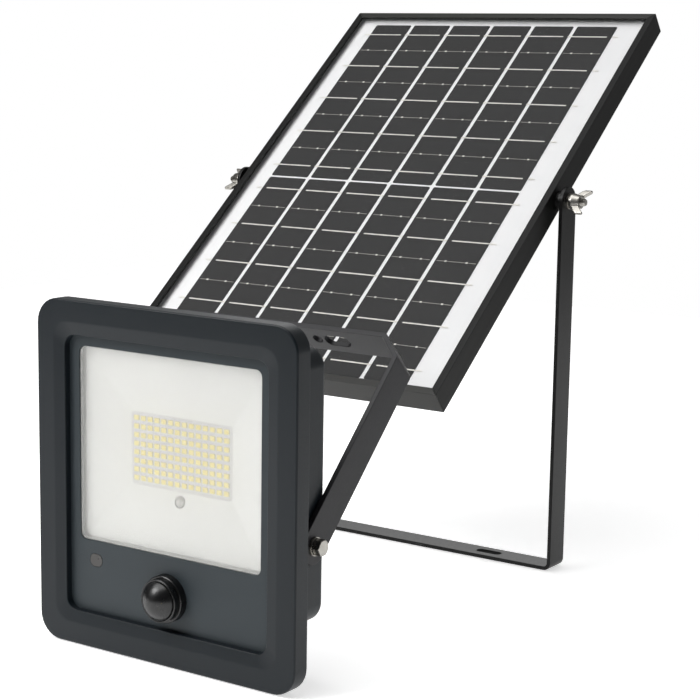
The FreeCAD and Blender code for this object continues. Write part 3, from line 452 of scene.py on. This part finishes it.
# painted shade and light: all four rails are one black anodised finish, but the side rails get a darker copy,
# as if in shade, and the end rails a lighter copy, as if lit
shadedSideAnodised = anodisedAluminium("anodisedSideRailPaintedShade", {
    "dark": "0c0c0c", "light": "161615", "rough": 0.4, "shine": 0.16, "lineMm": 1.2, "stretch": (1, 0.02, 1)})
litEndAnodised = anodisedAluminium("anodisedEndRailPaintedLight", {
    "dark": "1c1c1a", "light": "2c2c29", "rough": 0.42, "shine": 0.3, "lineMm": 1.2, "stretch": (0.02, 1, 1)})
millAluminium = platedSteel("millAluminium", {
    "dark": "9a9b9c", "light": "b9babb", "rough": 0.4, "cloudMm": 12, "metal": 1.0})
zincPlate = platedSteel("brightZincPlate", {
    "dark": "8a8883", "light": "b6b3ac", "rough": 0.3, "cloudMm": 3, "metal": 1.0})
stainless = platedSteel("bareStainless", {
    "dark": "8e8c87", "light": "bcb9b2", "rough": 0.28, "cloudMm": 4, "metal": 1.0})
tinnedCopper = platedSteel("tinnedCopperRibbon", {  # dull tin scatters more than it mirrors
    "dark": "d4d1ca", "light": "efece5", "rough": 0.5, "cloudMm": 6, "metal": 0.2})
printedSilver = platedSteel("printedSilver", {
    "dark": "8a8781", "light": "b0ada6", "rough": 0.5, "cloudMm": 2, "metal": 0.2})
cellSilicon = siliconCell("texturedSilicon", {
    "dark": "080707", "light": "0c0b0b", "finger": "252323", "shine": 0.08, "pitchMm": 1.6, "cloudMm": 25,
    "slant": 35, "contrast": 0.3})
backLaminate = whiteSheet("whitePetLaminate", {
    "dark": "ebebec", "light": "f4f4f4", "rough": 0.5, "mottleMm": 18})
trayWhite = whiteSheet("glossWhitePolycarbonate", {
    "dark": "e6e6e3", "light": "efefec", "rough": 0.25, "mottleMm": 30})
boardWhite = whiteSheet("whiteSolderMask", {"dark": "cdcdca", "light": "d4d4d1", "rough": 0.4, "mottleMm": 8})
ledPackage = whiteSheet("ledPackageResin", {"dark": "efe39c", "light": "f3e9aa", "rough": 0.4, "mottleMm": 2})
phosphor = whiteSheet("yellowPhosphorGel", {
    "dark": "f4dc5c", "light": "f8e470", "rough": 0.35, "mottleMm": 1.5})
panelGlass = lowIronGlass("lowIronGlass", {"dark": "e4e8ea", "light": "ffffff", "alpha": 0.02, "mistMm": 70})
frosted = frostedPolycarbonate("frostedPolycarbonate", {
    "dark": "e9e9e6", "light": "f1f1ee", "alpha": 0.25, "hazeMm": 50, "pitMm": 0.7})
greenMask = tracedBoard("greenSolderMask", {"dark": "10451f", "light": "1c6a33"})
print("materials ready")


# carried CAD nodes
carried = {  # nodes whose CAD shape stays, and what they are made of
    "cell_strips": cellSilicon, "cell_ribbons": tinnedCopper, "cell_busbars": printedSilver,
    "panel_glass": panelGlass, "backsheet": backLaminate, "corner_keys": millAluminium,
    "junction_box_terminals": blackAbs, "panel_pivot_spacers": blackAbs, "panel_pivot_washers": zincPlate,
    "reflector_tray": trayWhite, "window_seal": silicone, "led_board": boardWhite,
    "heat_spreader": millAluminium, "control_board": greenMask, "control_parts": chipEpoxy,
    "battery_cells": cellSleeve, "battery_tray": blackAbs, "pir_sensor": stainless, "pir_board": greenMask,
    "receiver_chip": chipEpoxy, "receiver_lens": receiverBlack, "housing_gasket": silicone,
    "lead_gland": blackAbs, "breather_vent": blackAbs, "yoke_washers": stainless,
    "spring_washer_right": zincPlate, "spring_washer_left": zincPlate, "yoke_spring_washers": stainless,
}
for nodeName, material in carried.items():
    for slot in nodes[nodeName].material_slots:
        slot.material = material
print("CAD nodes dressed:", len(carried))


# CAD shapes with softened edges
softened = [  # node, piece, body, material, record slot, edge radius in mm
    ("panel_bracket", "bentBracket", "bracket", satinBlack, "bracket_paint", 0.45),
    # the side rails take the painted-shade copy of the anodised finish, the end rails the painted-light copy
    ("frame_rail_right", "rightRail", "panel", shadedSideAnodised, "frame_anodised", 0.3),
    ("frame_rail_left", "leftRail", "panel", shadedSideAnodised, "frame_anodised", 0.3),
    ("frame_rail_top", "topRail", "panel", litEndAnodised, "frame_anodised", 0.3),
    ("frame_rail_bottom", "bottomRail", "panel", litEndAnodised, "frame_anodised", 0.3),
    ("junction_box_base", "boxBase", "panel", blackAbs, "black_plastic", 0.3),
    ("junction_box_gland", "boxGland", "panel", silicone, "rubber_seal", 0.3),
    ("rear_housing", "rearHousing", "lamp", lampAbs, "lamp_moulding", 0.4),
    ("face_panel", "facePanel", "lamp", litFaceAbs, "face_moulding", 0.35),
    ("lead_gland_cap", "glandCap", "lamp", blackAbs, "black_plastic", 0.3),
    ("yoke", "bentYoke", "yoke", charcoalCoat, "yoke_paint", 0.5),
]
for nodeName, pieceName, body, material, slotName, radius in softened:
    piece = softCopy(nodeName, pieceName, radius * mm)
    finishPiece(piece, body, material, [nodeName])
print("softened pieces:", len(softened))


# front bezel of the lamp: one moulding, modelled through its cross-section's corners
bezel = {"band": 12, "ring": 7, "drop": 1.3, "recess": 5.2, "wall": 2.5, "corner": 14, "creaseCorner": 10,
         "mouthCorner": 7, "hollowCorner": 8.5, "backEdge": 0.4, "frontEdge": 1.1, "creaseEdge": 0.8,
         "mouthEdge": 0.5}
bezelScrew = {"radius": 2.8, "high": 1.8, "shank": 1.5, "long": 7.3}
boss = {"across": 4, "radius": 3.4, "high": 6.6, "bore": 1.5, "floor": 2, "sunk": 0.5}
ringShift = 0.1  # mm between neighbouring rings that would otherwise lie in one plane
bezelLow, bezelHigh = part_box("front_bezel")
lampMiddle = (bezelLow + bezelHigh) / 2


def lampRing(inset, depth, radius):  # a rounded rectangle inside the lamp's outline, behind its front face
    middle = Vector((lampMiddle.x, bezelLow.y + depth * mm, lampMiddle.z))
    halfWide = (bezelHigh.x - bezelLow.x) / 2 - inset * mm
    halfHigh = (bezelHigh.z - bezelLow.z) / 2 - inset * mm
    return middle, halfWide, halfHigh, radius * mm


def ringEdge(piece, ring, width, segments):  # rounds the edge that runs along one ring
    pick(piece, "EDGE", lambda a, b: onRing(a, ring) and onRing(b, ring))
    bpy.ops.mesh.bevel(offset=width * mm, segments=segments, affect="EDGES")
    bpy.ops.object.mode_set(mode="OBJECT")


rimDepth = (bezelHigh.y - bezelLow.y) / mm
mouthInset = bezel["band"] + bezel["ring"]
innerCorner = bezel["corner"] - bezel["wall"]
bezelRings = [
    lampRing(0, rimDepth, bezel["corner"]),
    lampRing(0, 0, bezel["corner"]),
    lampRing(bezel["band"], ringShift, bezel["creaseCorner"]),
    lampRing(mouthInset, bezel["drop"], bezel["mouthCorner"]),
    lampRing(mouthInset, bezel["recess"], bezel["mouthCorner"]),
    lampRing(mouthInset - bezel["wall"], bezel["recess"] - ringShift, bezel["hollowCorner"]),
    lampRing(mouthInset - bezel["wall"], bezel["wall"], bezel["hollowCorner"]),
    lampRing(bezel["wall"], bezel["wall"] + 2 * ringShift, innerCorner),
    lampRing(bezel["wall"], rimDepth - ringShift, innerCorner),
]
bezelShell = bridgedRings("frontBezel", bezelRings, True, [])
ringEdge(bezelShell, bezelRings[0], bezel["backEdge"], 2)
ringEdge(bezelShell, bezelRings[1], bezel["frontEdge"], 4)
ringEdge(bezelShell, bezelRings[2], bezel["creaseEdge"], 4)
ringEdge(bezelShell, bezelRings[3], bezel["mouthEdge"], 3)
screwLow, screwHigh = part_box("bezel_screws")
headRadius = bezelScrew["radius"] * mm
bossZs = (screwLow.z + headRadius, screwHigh.z - headRadius)
bossRun = screwHigh.x - screwLow.x - 2 * headRadius
bossXs = [screwLow.x + headRadius + step * bossRun / (boss["across"] - 1) for step in range(boss["across"])]
bossFoot = Vector((bossXs[0], bezelLow.y + (bezel["wall"] - boss["sunk"]) * mm, bossZs[0]))
bossProfile = [(0, 0), (boss["radius"], 0), (boss["radius"], boss["high"]), (boss["bore"], boss["high"]),
               (boss["bore"], boss["floor"]), (0, boss["floor"])]
firstBoss = turnedPiece("screwBoss", bossFoot, alongY, [(r * mm, a * mm) for r, a in bossProfile], 20)
bosses = [copyPiece(firstBoss, (x - bossXs[0], 0, z - bossZs[0])) for x in bossXs for z in bossZs]
bpy.data.objects.remove(firstBoss)
bezelShell = joinPieces("frontBezel", [bezelShell] + bosses)
finishPiece(bezelShell, "lamp", lampAbs, ["front_bezel"], 30)
print("front bezel modelled")


# window: a moulded pane whose raised middle fills the opening in the face panel
pane = {"padInset": 3.65, "paneCorner": 6, "padCorner": 3.8, "padEdge": 0.5, "paneThick": 1.8}
paneLow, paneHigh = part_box("window")
paneMiddle = (paneLow + paneHigh) / 2


def paneRing(inset, y, radius):
    return (Vector((paneMiddle.x, y, paneMiddle.z)), (paneHigh.x - paneLow.x) / 2 - inset * mm,
            (paneHigh.z - paneLow.z) / 2 - inset * mm, radius * mm)


landY = paneHigh.y - pane["paneThick"] * mm
paneRings = [paneRing(pane["padInset"], paneLow.y, pane["padCorner"]),
             paneRing(pane["padInset"], landY, pane["padCorner"]),
             paneRing(0, landY + ringShift * mm, pane["paneCorner"]),
             paneRing(0, paneHigh.y, pane["paneCorner"])]
windowPane = bridgedRings("frostedWindow", paneRings, False, [paneRings[0], paneRings[-1]])
ringEdge(windowPane, paneRings[0], pane["padEdge"], 3)
finishPiece(windowPane, "lamp", frosted, ["window"], 30)


# LEDs: one surface-mount package with its gel-filled cup, set out in rows
led = {"columns": 14, "rows": 8, "wide": 3.5, "high": 2.8, "edge": 0.12, "cupInset": 0.16, "cupDeep": 0.25,
       "gelDown": 0.22, "gelThick": 0.15, "gelSlope": 0.4, "gelBulge": 0.12}
ledLow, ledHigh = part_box("leds")
pitchX = (ledHigh.x - ledLow.x - led["wide"] * mm) / (led["columns"] - 1)
pitchZ = (ledHigh.z - ledLow.z - led["high"] * mm) / (led["rows"] - 1)


def spread(piece, count, step):  # a row of copies, joined
    copies = [copyPiece(piece, Vector(step) * index) for index in range(1, count)]
    return joinPieces(piece.name, [piece] + copies)


packageEnd = Vector((ledLow.x + led["wide"] * mm, ledHigh.y, ledLow.z + led["high"] * mm))
package = addBlock("ledPackages", ledLow, packageEnd)
softenEdges(package, led["edge"] * mm, segments=1)
pick(package, "FACE", lambda centre, normal: normal.y < -0.99)
bpy.ops.mesh.inset(thickness=led["cupInset"] * mm, depth=0)
bpy.ops.mesh.extrude_region_move(TRANSFORM_OT_translate={"value": (0, led["cupDeep"] * mm, 0)})
bpy.ops.object.mode_set(mode="OBJECT")
gelCorner = ledLow + Vector((led["cupInset"], led["gelDown"], led["cupInset"])) * mm
gelSize = Vector((led["wide"] - 2 * led["cupInset"], led["gelThick"], led["high"] - 2 * led["cupInset"])) * mm
gel = addBlock("ledGel", gelCorner, gelCorner + gelSize)
pick(gel, "FACE", lambda centre, normal: normal.y < -0.99)
bpy.ops.mesh.inset(thickness=led["gelSlope"] * mm, depth=led["gelBulge"] * mm)
bpy.ops.object.mode_set(mode="OBJECT")
package = spread(spread(package, led["columns"], (pitchX, 0, 0)), led["rows"], (0, 0, pitchZ))
gel = spread(spread(gel, led["columns"], (pitchX, 0, 0)), led["rows"], (0, 0, pitchZ))
finishPiece(package, "lamp", ledPackage, ["leds"], 20)
finishPiece(gel, "lamp", phosphor, [], 40)
print("window and LEDs modelled")


# motion sensor: a domed black lens in its stepped collar
sensor = {"lensRadius": 10.6, "lensRise": 6.5, "lensSkirt": 10, "lensWall": 0.8, "rimOut": 3, "bore": 10.7,
          "collar": 12.9, "step": 11.8, "stepIn": 0.8, "flange": 14.1, "flangeIn": 7.4, "flangeThick": 1,
          "edge": 0.4}
collarLow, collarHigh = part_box("pir_collar")
sensorMiddle = Vector(((collarLow.x + collarHigh.x) / 2, bezelLow.y, (collarLow.z + collarHigh.z) / 2))
rimOut = sensor["rimOut"]
stepIn = -sensor["stepIn"]
edge = sensor["edge"]
flangeFront = -sensor["flangeIn"]
flangeBack = flangeFront - sensor["flangeThick"]
collarProfile = [(sensor["bore"], rimOut - edge / 2), (sensor["bore"] + 0.75 * edge, rimOut),
                 (sensor["step"] - 0.875 * edge, rimOut), (sensor["step"], rimOut - edge),
                 (sensor["step"], stepIn), (sensor["collar"] - edge, stepIn),
                 (sensor["collar"], stepIn - edge), (sensor["collar"], flangeFront),
                 (sensor["flange"], flangeFront), (sensor["flange"], flangeBack),
                 (sensor["bore"], flangeBack), (sensor["bore"], rimOut - edge / 2)]
collar = turnedPiece("sensorCollar", sensorMiddle, -alongY, [(r * mm, a * mm) for r, a in collarProfile], 64)
finishPiece(collar, "lamp", lensBlack, ["pir_collar"], 40)

ballRadius = (sensor["lensRadius"] ** 2 + sensor["lensRise"] ** 2) / (2 * sensor["lensRise"])
ballMiddle = sensorMiddle + alongY * (ballRadius - sensor["lensRise"] - sensor["rimOut"]) * mm
bpy.ops.mesh.primitive_uv_sphere_add(segments=64, ring_count=48, radius=ballRadius * mm,
                                     location=ballMiddle, rotation=(math.pi / 2, 0, 0))
lens = bpy.context.view_layer.objects.active
lens.name = "sensorLens"
bpy.ops.object.transform_apply(location=True, rotation=True, scale=True)
editAll(lens)
rimPlane = sensorMiddle - alongY * sensor["rimOut"] * mm
bpy.ops.mesh.bisect(plane_co=rimPlane, plane_no=alongY, clear_outer=True, clear_inner=False)
bpy.ops.mesh.select_all(action="DESELECT")
bpy.ops.object.mode_set(mode="OBJECT")
pick(lens, "EDGE", lambda a, b: abs(a.y - rimPlane.y) < 0.01 * mm and abs(b.y - rimPlane.y) < 0.01 * mm)
bpy.ops.mesh.extrude_region_move(TRANSFORM_OT_translate={"value": (0, sensor["lensSkirt"] * mm, 0)})
bpy.ops.mesh.select_all(action="SELECT")
bpy.ops.mesh.normals_make_consistent(inside=False)
bpy.ops.object.mode_set(mode="OBJECT")
applyModifier(lens, "SOLIDIFY", {"thickness": sensor["lensWall"] * mm, "offset": -1})
finishPiece(lens, "lamp", lensBlack, ["pir_dome"], 40)
print("motion sensor modelled")


# wing nuts and the T bolts they clamp
wing = {"hubRadius": 5.4, "hubTop": 4.2, "hubHigh": 6, "skirtHigh": 1.2, "bore": 2.55, "turn": 42,
        "earThick": 2.4, "earFrom": (1.0, 2.9), "earTo": (6.2, 4.6), "earFlare": 1.12, "topBand": 0.9,
        "earSteps": [((1.7, 0, 2.2), 1), ((1.7, 0, 1.9), 0.94), ((0.7, 0, 1.2), 0.66)], "castGrain": 0.28}
nutFoot = Vector((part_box("wing_nut_right")[0].x, panelPivot.y, panelPivot.z))
hubProfile = [(wing["bore"], 0), (wing["hubRadius"], 0), (wing["hubRadius"], wing["skirtHigh"]),
              (wing["hubTop"], wing["hubHigh"]), (wing["bore"], wing["hubHigh"]), (wing["bore"], 0)]
hub = turnedPiece("rightWingNut", nutFoot, alongX, [(r * mm, a * mm) for r, a in hubProfile], 40)
half = wing["earThick"] / 2
ears = []
for side in (1, -1):
    ear = addBlock("ear", nutFoot + Vector((wing["earFrom"][0], -half, wing["earFrom"][1])) * mm,
                   nutFoot + Vector((wing["earTo"][0], half, wing["earTo"][1])) * mm)
    for push, size in wing["earSteps"]:
        topHigh = max(v.co.z for v in ear.data.vertices)
        pick(ear, "FACE", lambda centre, normal: centre.z > topHigh - wing["topBand"] * mm and normal.z > 0.5)
        bpy.ops.mesh.extrude_region_move(TRANSFORM_OT_translate={"value": Vector(push) * mm})
        bpy.ops.transform.resize(value=(size * wing["earFlare"], size, 1))
        bpy.ops.object.mode_set(mode="OBJECT")
    if side < 0:
        ear.rotation_euler = (math.pi, 0, 0)
        ear.location = nutFoot - Matrix.Rotation(math.pi, 3, "X") @ nutFoot
    ears.append(ear)
rightNut = joinPieces("rightWingNut", [hub] + ears)
makeActive(rightNut)
bpy.ops.object.transform_apply(location=True, rotation=True, scale=True)
applyModifier(rightNut, "REMESH", {"mode": "VOXEL", "voxel_size": wing["castGrain"] * mm})  # cast in one
applyModifier(rightNut, "SMOOTH", {"factor": 0.5, "iterations": 6})
rightNut.rotation_euler = (math.radians(90 + wing["turn"]), 0, 0)
turnAround = Matrix.Rotation(math.radians(90 + wing["turn"]), 3, "X")
rightNut.location = panelPivot - turnAround @ panelPivot
makeActive(rightNut)
bpy.ops.object.transform_apply(location=True, rotation=True, scale=True)
leftNut = mirrorPiece(rightNut, 0)
leftNut.name = "leftWingNut"
finishPiece(rightNut, "right_nut", zincPlate, ["wing_nut_right"], 180)
finishPiece(leftNut, "left_nut", zincPlate, ["wing_nut_left"], 180)

bolt = {"radius": 2.5, "pitch": 0.8, "depth": 0.42, "threadLong": 14, "pointIn": 0.6, "headWide": 6.4,
        "headLong": 14, "headThick": 2.4, "headEdge": 0.4}
railWall = 1.4  # mm of frame between a T head and the bracket's arm
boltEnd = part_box("panel_pivot_bolts")[1].x / mm
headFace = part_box("frame_rail_right")[1].x / mm - railWall
threadFrom = boltEnd - bolt["threadLong"]
boltProfile = [(0, headFace), (bolt["radius"], headFace), (bolt["radius"], threadFrom)]
for index in range(int(bolt["threadLong"] / bolt["pitch"]) - 1):
    crest = threadFrom + (index + 0.5) * bolt["pitch"]
    boltProfile += [(bolt["radius"] - bolt["depth"], crest), (bolt["radius"], crest + bolt["pitch"] / 2)]
boltProfile += [(bolt["radius"] - bolt["pointIn"], boltEnd), (0, boltEnd)]
rightBolt = turnedPiece("pivotBolts", Vector((0, panelPivot.y, panelPivot.z)), alongX,
                        [(r * mm, a * mm) for r, a in boltProfile], 32)
headHalf = Vector((0, bolt["headLong"] / 2, bolt["headWide"] / 2))
head = addBlock("boltHead", (Vector((headFace - bolt["headThick"], 0, 0)) - headHalf) * mm,
                (Vector((headFace, 0, 0)) + headHalf) * mm)
softenEdges(head, bolt["headEdge"] * mm)
makeActive(head)
head.rotation_euler = (panelRise, 0, 0)
head.location = panelPivot
bpy.ops.object.transform_apply(location=True, rotation=True, scale=True)
rightBolt = joinPieces("pivotBolts", [rightBolt, head])
pivotBolts = joinPieces("pivotBolts", [rightBolt, mirrorPiece(rightBolt, 0)])
finishPiece(pivotBolts, "panel", zincPlate, ["panel_pivot_bolts"], 30)
print("wing nuts and pivot bolts modelled")


# hex bolts of the yoke
hexBolt = {"acrossFlats": 8, "headHigh": 3.5, "crownFrom": 2.6, "crownIn": 0.1, "headEdge": 0.12,
           "radius": 2.5, "inner": 70, "pointRadius": 2, "pointLong": 0.6}
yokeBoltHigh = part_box("yoke_bolts")[1]
headBase = yokeBoltHigh.x - hexBolt["headHigh"] * mm
hexRadius = hexBolt["acrossFlats"] * mm / math.sqrt(3)
hexMiddle = Vector((headBase + hexBolt["headHigh"] * mm / 2, yokePivot.y, yokePivot.z))
bpy.ops.mesh.primitive_cylinder_add(vertices=6, radius=hexRadius, depth=hexBolt["headHigh"] * mm,
                                    location=hexMiddle, rotation=(0, math.pi / 2, 0))
hexHead = bpy.context.view_layer.objects.active
hexHead.name = "yokeBolts"
bpy.ops.object.transform_apply(location=True, rotation=True, scale=True)
crownFoot = Vector((headBase, yokePivot.y, yokePivot.z))
crown = turnedPiece("crown", crownFoot, alongX, [
    (0, -mm), (hexRadius + mm, -mm), (hexRadius + mm, hexBolt["crownFrom"] * mm),
    ((hexBolt["acrossFlats"] / 2 - hexBolt["crownIn"]) * mm, hexBolt["headHigh"] * mm),
    (0, hexBolt["headHigh"] * mm)], 64)
applyModifier(hexHead, "BOOLEAN", {"operation": "INTERSECT", "object": crown})
bpy.data.objects.remove(crown)
softenEdges(hexHead, hexBolt["headEdge"] * mm, 25)
shankFoot = Vector((lampMiddle.x, yokePivot.y, yokePivot.z))
shank = turnedPiece("shank", shankFoot, alongX, [
    (0, hexBolt["inner"] * mm), (hexBolt["pointRadius"] * mm, hexBolt["inner"] * mm),
    (hexBolt["radius"] * mm, (hexBolt["inner"] + hexBolt["pointLong"]) * mm),
    (hexBolt["radius"] * mm, headBase - lampMiddle.x), (0, headBase - lampMiddle.x)], 28)
rightYokeBolt = joinPieces("yokeBolts", [hexHead, shank])
yokeBolts = joinPieces("yokeBolts", [rightYokeBolt, mirrorPiece(rightYokeBolt, lampMiddle.x)])
finishPiece(yokeBolts, "lamp", stainless, ["yoke_bolts"], 30)


# cross-head screws
panHead = [(1, 0.35), (0.86, 0.78), (0.55, 0.97)]  # shares of a head's radius and height
crossSlot = {"reach": 0.62, "half": 0.13, "floor": 0.45, "above": 1.2}  # shares of the same


def crossScrew(name, spot, axis, look):  # head on its seat at spot, shank going in against the axis
    radius = look["radius"] * mm
    high = look["high"] * mm
    shank = look["shank"] * mm
    tip = -look["long"] * mm
    dome = [(radius * out, high * rise) for out, rise in panHead]
    profile = [(0, tip), (shank, tip), (shank, 0), (radius, 0)] + dome + [(0, high)]
    screw = turnedPiece(name, spot, axis, profile, 32)
    side = alongX
    up = axis.cross(side)
    arms = []
    for across, along in ((side, up), (up, side)):
        reach = across * radius * crossSlot["reach"] + along * radius * crossSlot["half"]
        arms.append(addBlock("arm", spot - reach + axis * high * crossSlot["floor"],
                             spot + reach + axis * high * crossSlot["above"]))
    cross = joinPieces("cross", arms)
    applyModifier(screw, "BOOLEAN", {"operation": "DIFFERENCE", "object": cross, "use_self": True})
    bpy.data.objects.remove(cross)
    return screw


firstScrew = crossScrew("bezelScrews", Vector((bossXs[0], bezelHigh.y, bossZs[0])), alongY, bezelScrew)
bezelScrews = [copyPiece(firstScrew, (x - bossXs[0], 0, z - bossZs[0])) for x in bossXs for z in bossZs]
bpy.data.objects.remove(firstScrew)
finishPiece(joinPieces("bezelScrews", bezelScrews), "lamp", stainless, ["bezel_screws"], 30)

boardScrew = {"radius": 3, "high": 1.6, "shank": 1.5, "long": 4}
boardLow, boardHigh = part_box("led_board_screw")
boardSpot = Vector(((boardLow.x + boardHigh.x) / 2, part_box("led_board")[0].y, (boardLow.z + boardHigh.z) / 2))
finishPiece(crossScrew("boardScrew", boardSpot, -alongY, boardScrew), "lamp", stainless,
            ["led_board_screw"], 30)
print("bolts and screws modelled")


# junction box lid, modelled with the panel lying flat and face up
def flatBox(node):  # a node's corners with the panel laid flat about its pivot
    laid = Matrix.Rotation(-panelRise, 3, "X")
    spots = [laid @ (v.co - panelPivot) for v in nodes[node].data.vertices]
    low = Vector([min(s[i] for s in spots) for i in range(3)])
    high = Vector([max(s[i] for s in spots) for i in range(3)])
    return low, high


def leanBack(piece):  # from lying flat to where the panel stands
    makeActive(piece)
    piece.rotation_euler = (panelRise, 0, 0)
    piece.location = panelPivot
    bpy.ops.object.transform_apply(location=True, rotation=True, scale=True)
    return piece


lid = {"corner": 4, "border": 4, "drop": 0.35, "dropSlope": 0.3, "edge": 0.5, "screwInset": 5}
lidLow, lidHigh = flatBox("junction_box_lid")
boxLid = addBlock("boxLid", lidLow, lidHigh)
pick(boxLid, "EDGE", lambda a, b: abs(a.z - b.z) > mm)
bpy.ops.mesh.bevel(offset=lid["corner"] * mm, segments=6, affect="EDGES")
pick(boxLid, "FACE", lambda centre, normal: normal.z < -0.99)
bpy.ops.mesh.inset(thickness=lid["border"] * mm, depth=0)
bpy.ops.mesh.inset(thickness=lid["dropSlope"] * mm, depth=-lid["drop"] * mm)
bpy.ops.object.mode_set(mode="OBJECT")
softenEdges(boxLid, lid["edge"] * mm, 40, 3)
finishPiece(leanBack(boxLid), "panel", blackAbs, ["junction_box_lid"], 30)
lidScrew = {"radius": 2.2, "high": 1.2, "shank": 1, "long": 9}
lidMiddle = (lidLow + lidHigh) / 2
screwOut = (lidHigh.x - lidLow.x) / 2 - lid["screwInset"] * mm
lidScrews = []
for side in (-1, 1):
    spot = Vector((lidMiddle.x + side * screwOut, lidMiddle.y, lidLow.z))
    lidScrews.append(crossScrew("lidScrews", spot, -alongZ, lidScrew))
lidScrews = leanBack(joinPieces("lidScrews", lidScrews))
finishPiece(lidScrews, "panel", stainless, ["junction_box_screws"], 30)
print("junction box modelled")


# solder pads: low mounds of tin on the bare printed lines of the cells
pads = {"columns": 6, "linesPerStrip": 4, "wide": 1.5, "high": 1.1, "rise": 0.25, "edge": 0.22,
        "shares": (0.25, 0.75)}
cell = {"columnGap": 2.8, "rowGap": 1.7, "linePitch": 35.8}  # mm, as the strips are laid in the panel
stripLow, stripHigh = flatBox("cell_strips")
lineLow = flatBox("cell_busbars")[0]
gaps = cell["columnGap"] * mm * (pads["columns"] - 1)
cellWide = (nodes["cell_strips"].dimensions.x - gaps) / pads["columns"]
stripPitch = (stripHigh.x - stripLow.x - cellWide) / (pads["columns"] - 1)
rowShift = (stripHigh.y - stripLow.y + cell["rowGap"] * mm) / 2
padFoot = Vector((stripLow.x + pads["shares"][0] * cellWide, lineLow.y + pads["high"] * mm / 2, lineLow.z))
size = Vector((pads["wide"], pads["high"], 0)) * mm / 2
pad = addBlock("solderPads", padFoot - size, padFoot + size + alongZ * pads["rise"] * mm)
softenEdges(pad, pads["edge"] * mm)
pad = spread(pad, 2, ((pads["shares"][1] - pads["shares"][0]) * cellWide, 0, 0))
pad = spread(pad, pads["columns"], (stripPitch, 0, 0))
pad = spread(pad, pads["linesPerStrip"], (0, cell["linePitch"] * mm, 0))
pad = spread(pad, 2, (0, rowShift, 0))
finishPiece(leanBack(pad), "panel", tinnedCopper, [], 60)
print("solder pads modelled")


# floor, light and camera
studio = {"floorSize": 2.2, "floorDrop": 0.5, "paint": ("f6f6f6", "fbfbfb"), "glow": 0.6, "surround": 0.05,
          "behind": 0.35}
bpy.ops.mesh.primitive_plane_add(size=studio["floorSize"], location=(0, 0, -studio["floorDrop"] * mm))
floor = bpy.context.view_layer.objects.active
floor.name = "studioFloor"
floorPaint, tree, shader, place = startMaterial("matWhiteFloor", {
    "Roughness": 0.9, "Specular IOR Level": 0.1, "Emission Strength": studio["glow"],
    "Emission Color": hexColour("ffffff")})
mottle = addNode(tree, "ShaderNodeTexNoise", {"Scale": 3.0, "Detail": 2.0}, {"Vector": place})
tone = addNode(tree, "ShaderNodeMix",
               {"data_type": "RGBA", 6: hexColour(studio["paint"][0]), 7: hexColour(studio["paint"][1])},
               {0: mottle.outputs["Fac"]})
tree.links.new(tone.outputs[2], shader.inputs["Base Color"])
floor.data.materials.append(floorPaint)

# the room is white to look at, and lights the object softly, more from behind it than from in front
world = bpy.data.worlds.new("studioWorld")
bpy.context.scene.world = world
world.use_nodes = True
tree = world.node_tree
tree.nodes.clear()
facing = addNode(tree, "ShaderNodeSeparateXYZ",
                 links={"Vector": addNode(tree, "ShaderNodeTexCoord").outputs["Generated"]})
glow = addNode(tree, "ShaderNodeMapRange", {"From Min": 0.0, "From Max": 0.9, "To Min": studio["surround"],
                                            "To Max": studio["behind"]}, {"Value": facing.outputs["Y"]})
seen = addNode(tree, "ShaderNodeLightPath")
strength = addNode(tree, "ShaderNodeMix", {"data_type": "FLOAT", 3: 1.0},
                   {0: seen.outputs["Is Camera Ray"], 2: glow.outputs["Result"]})
background = addNode(tree, "ShaderNodeBackground", {"Color": hexColour("ffffff")},
                     {"Strength": strength.outputs[0]})
addNode(tree, "ShaderNodeOutputWorld", links={"Surface": background.outputs[0]})

lights = {
    "topLight": {"spot": (-0.45, -0.6, 2.0), "target": (-0.1, -0.2, 0), "size": (1.8, 1.6), "watts": 28},
    "keyLight": {"spot": (-1.3, -2.0, 1.1), "target": (0, -0.25, 0.12), "size": (1.2, 0.9), "watts": 2.2},
    "backLight": {"spot": (-1.0, 2.2, 1.3), "target": (0, 0, 0.15), "size": (1.4, 1.2), "watts": 10},
    "tableLight": {"spot": (-0.5, -1.0, 0.9), "target": (-0.35, -0.7, 0), "size": (0.5, 0.5), "watts": 9},
}
for name, setting in lights.items():
    lamp = bpy.data.lights.new(name, "AREA")
    lamp.energy = setting["watts"]
    lamp.shape = "RECTANGLE"
    lamp.size, lamp.size_y = setting["size"]
    light = bpy.data.objects.new(name, lamp)
    bpy.context.scene.collection.objects.link(light)
    light.location = setting["spot"]
    toTarget = Vector(setting["target"]) - Vector(setting["spot"])
    light.rotation_euler = toTarget.to_track_quat("-Z", "Y").to_euler()

view = {"focalMm": 93.3, "sensorMm": 36, "azimuth": 34.14, "pitch": 9.43, "roll": 0.91, "distance": 1.237,
        "target": (-0.0361, 0, 0.125)}
azimuth = math.radians(view["azimuth"])
pitch = math.radians(view["pitch"])
away = Vector((math.sin(azimuth) * math.cos(pitch), -math.cos(azimuth) * math.cos(pitch), math.sin(pitch)))
camera = bpy.data.objects.new("camera", bpy.data.cameras.new("camera"))
bpy.context.scene.collection.objects.link(camera)
camera.data.lens = view["focalMm"]
camera.data.sensor_width = view["sensorMm"]
camera.location = Vector(view["target"]) + away * view["distance"]
roll = Quaternion(alongZ, math.radians(view["roll"]))
camera.rotation_euler = ((-away).to_track_quat("-Z", "Y") @ roll).to_euler()
bpy.context.scene.camera = camera
bpy.context.scene.view_settings.view_transform = "Standard"
print("studio and camera ready")
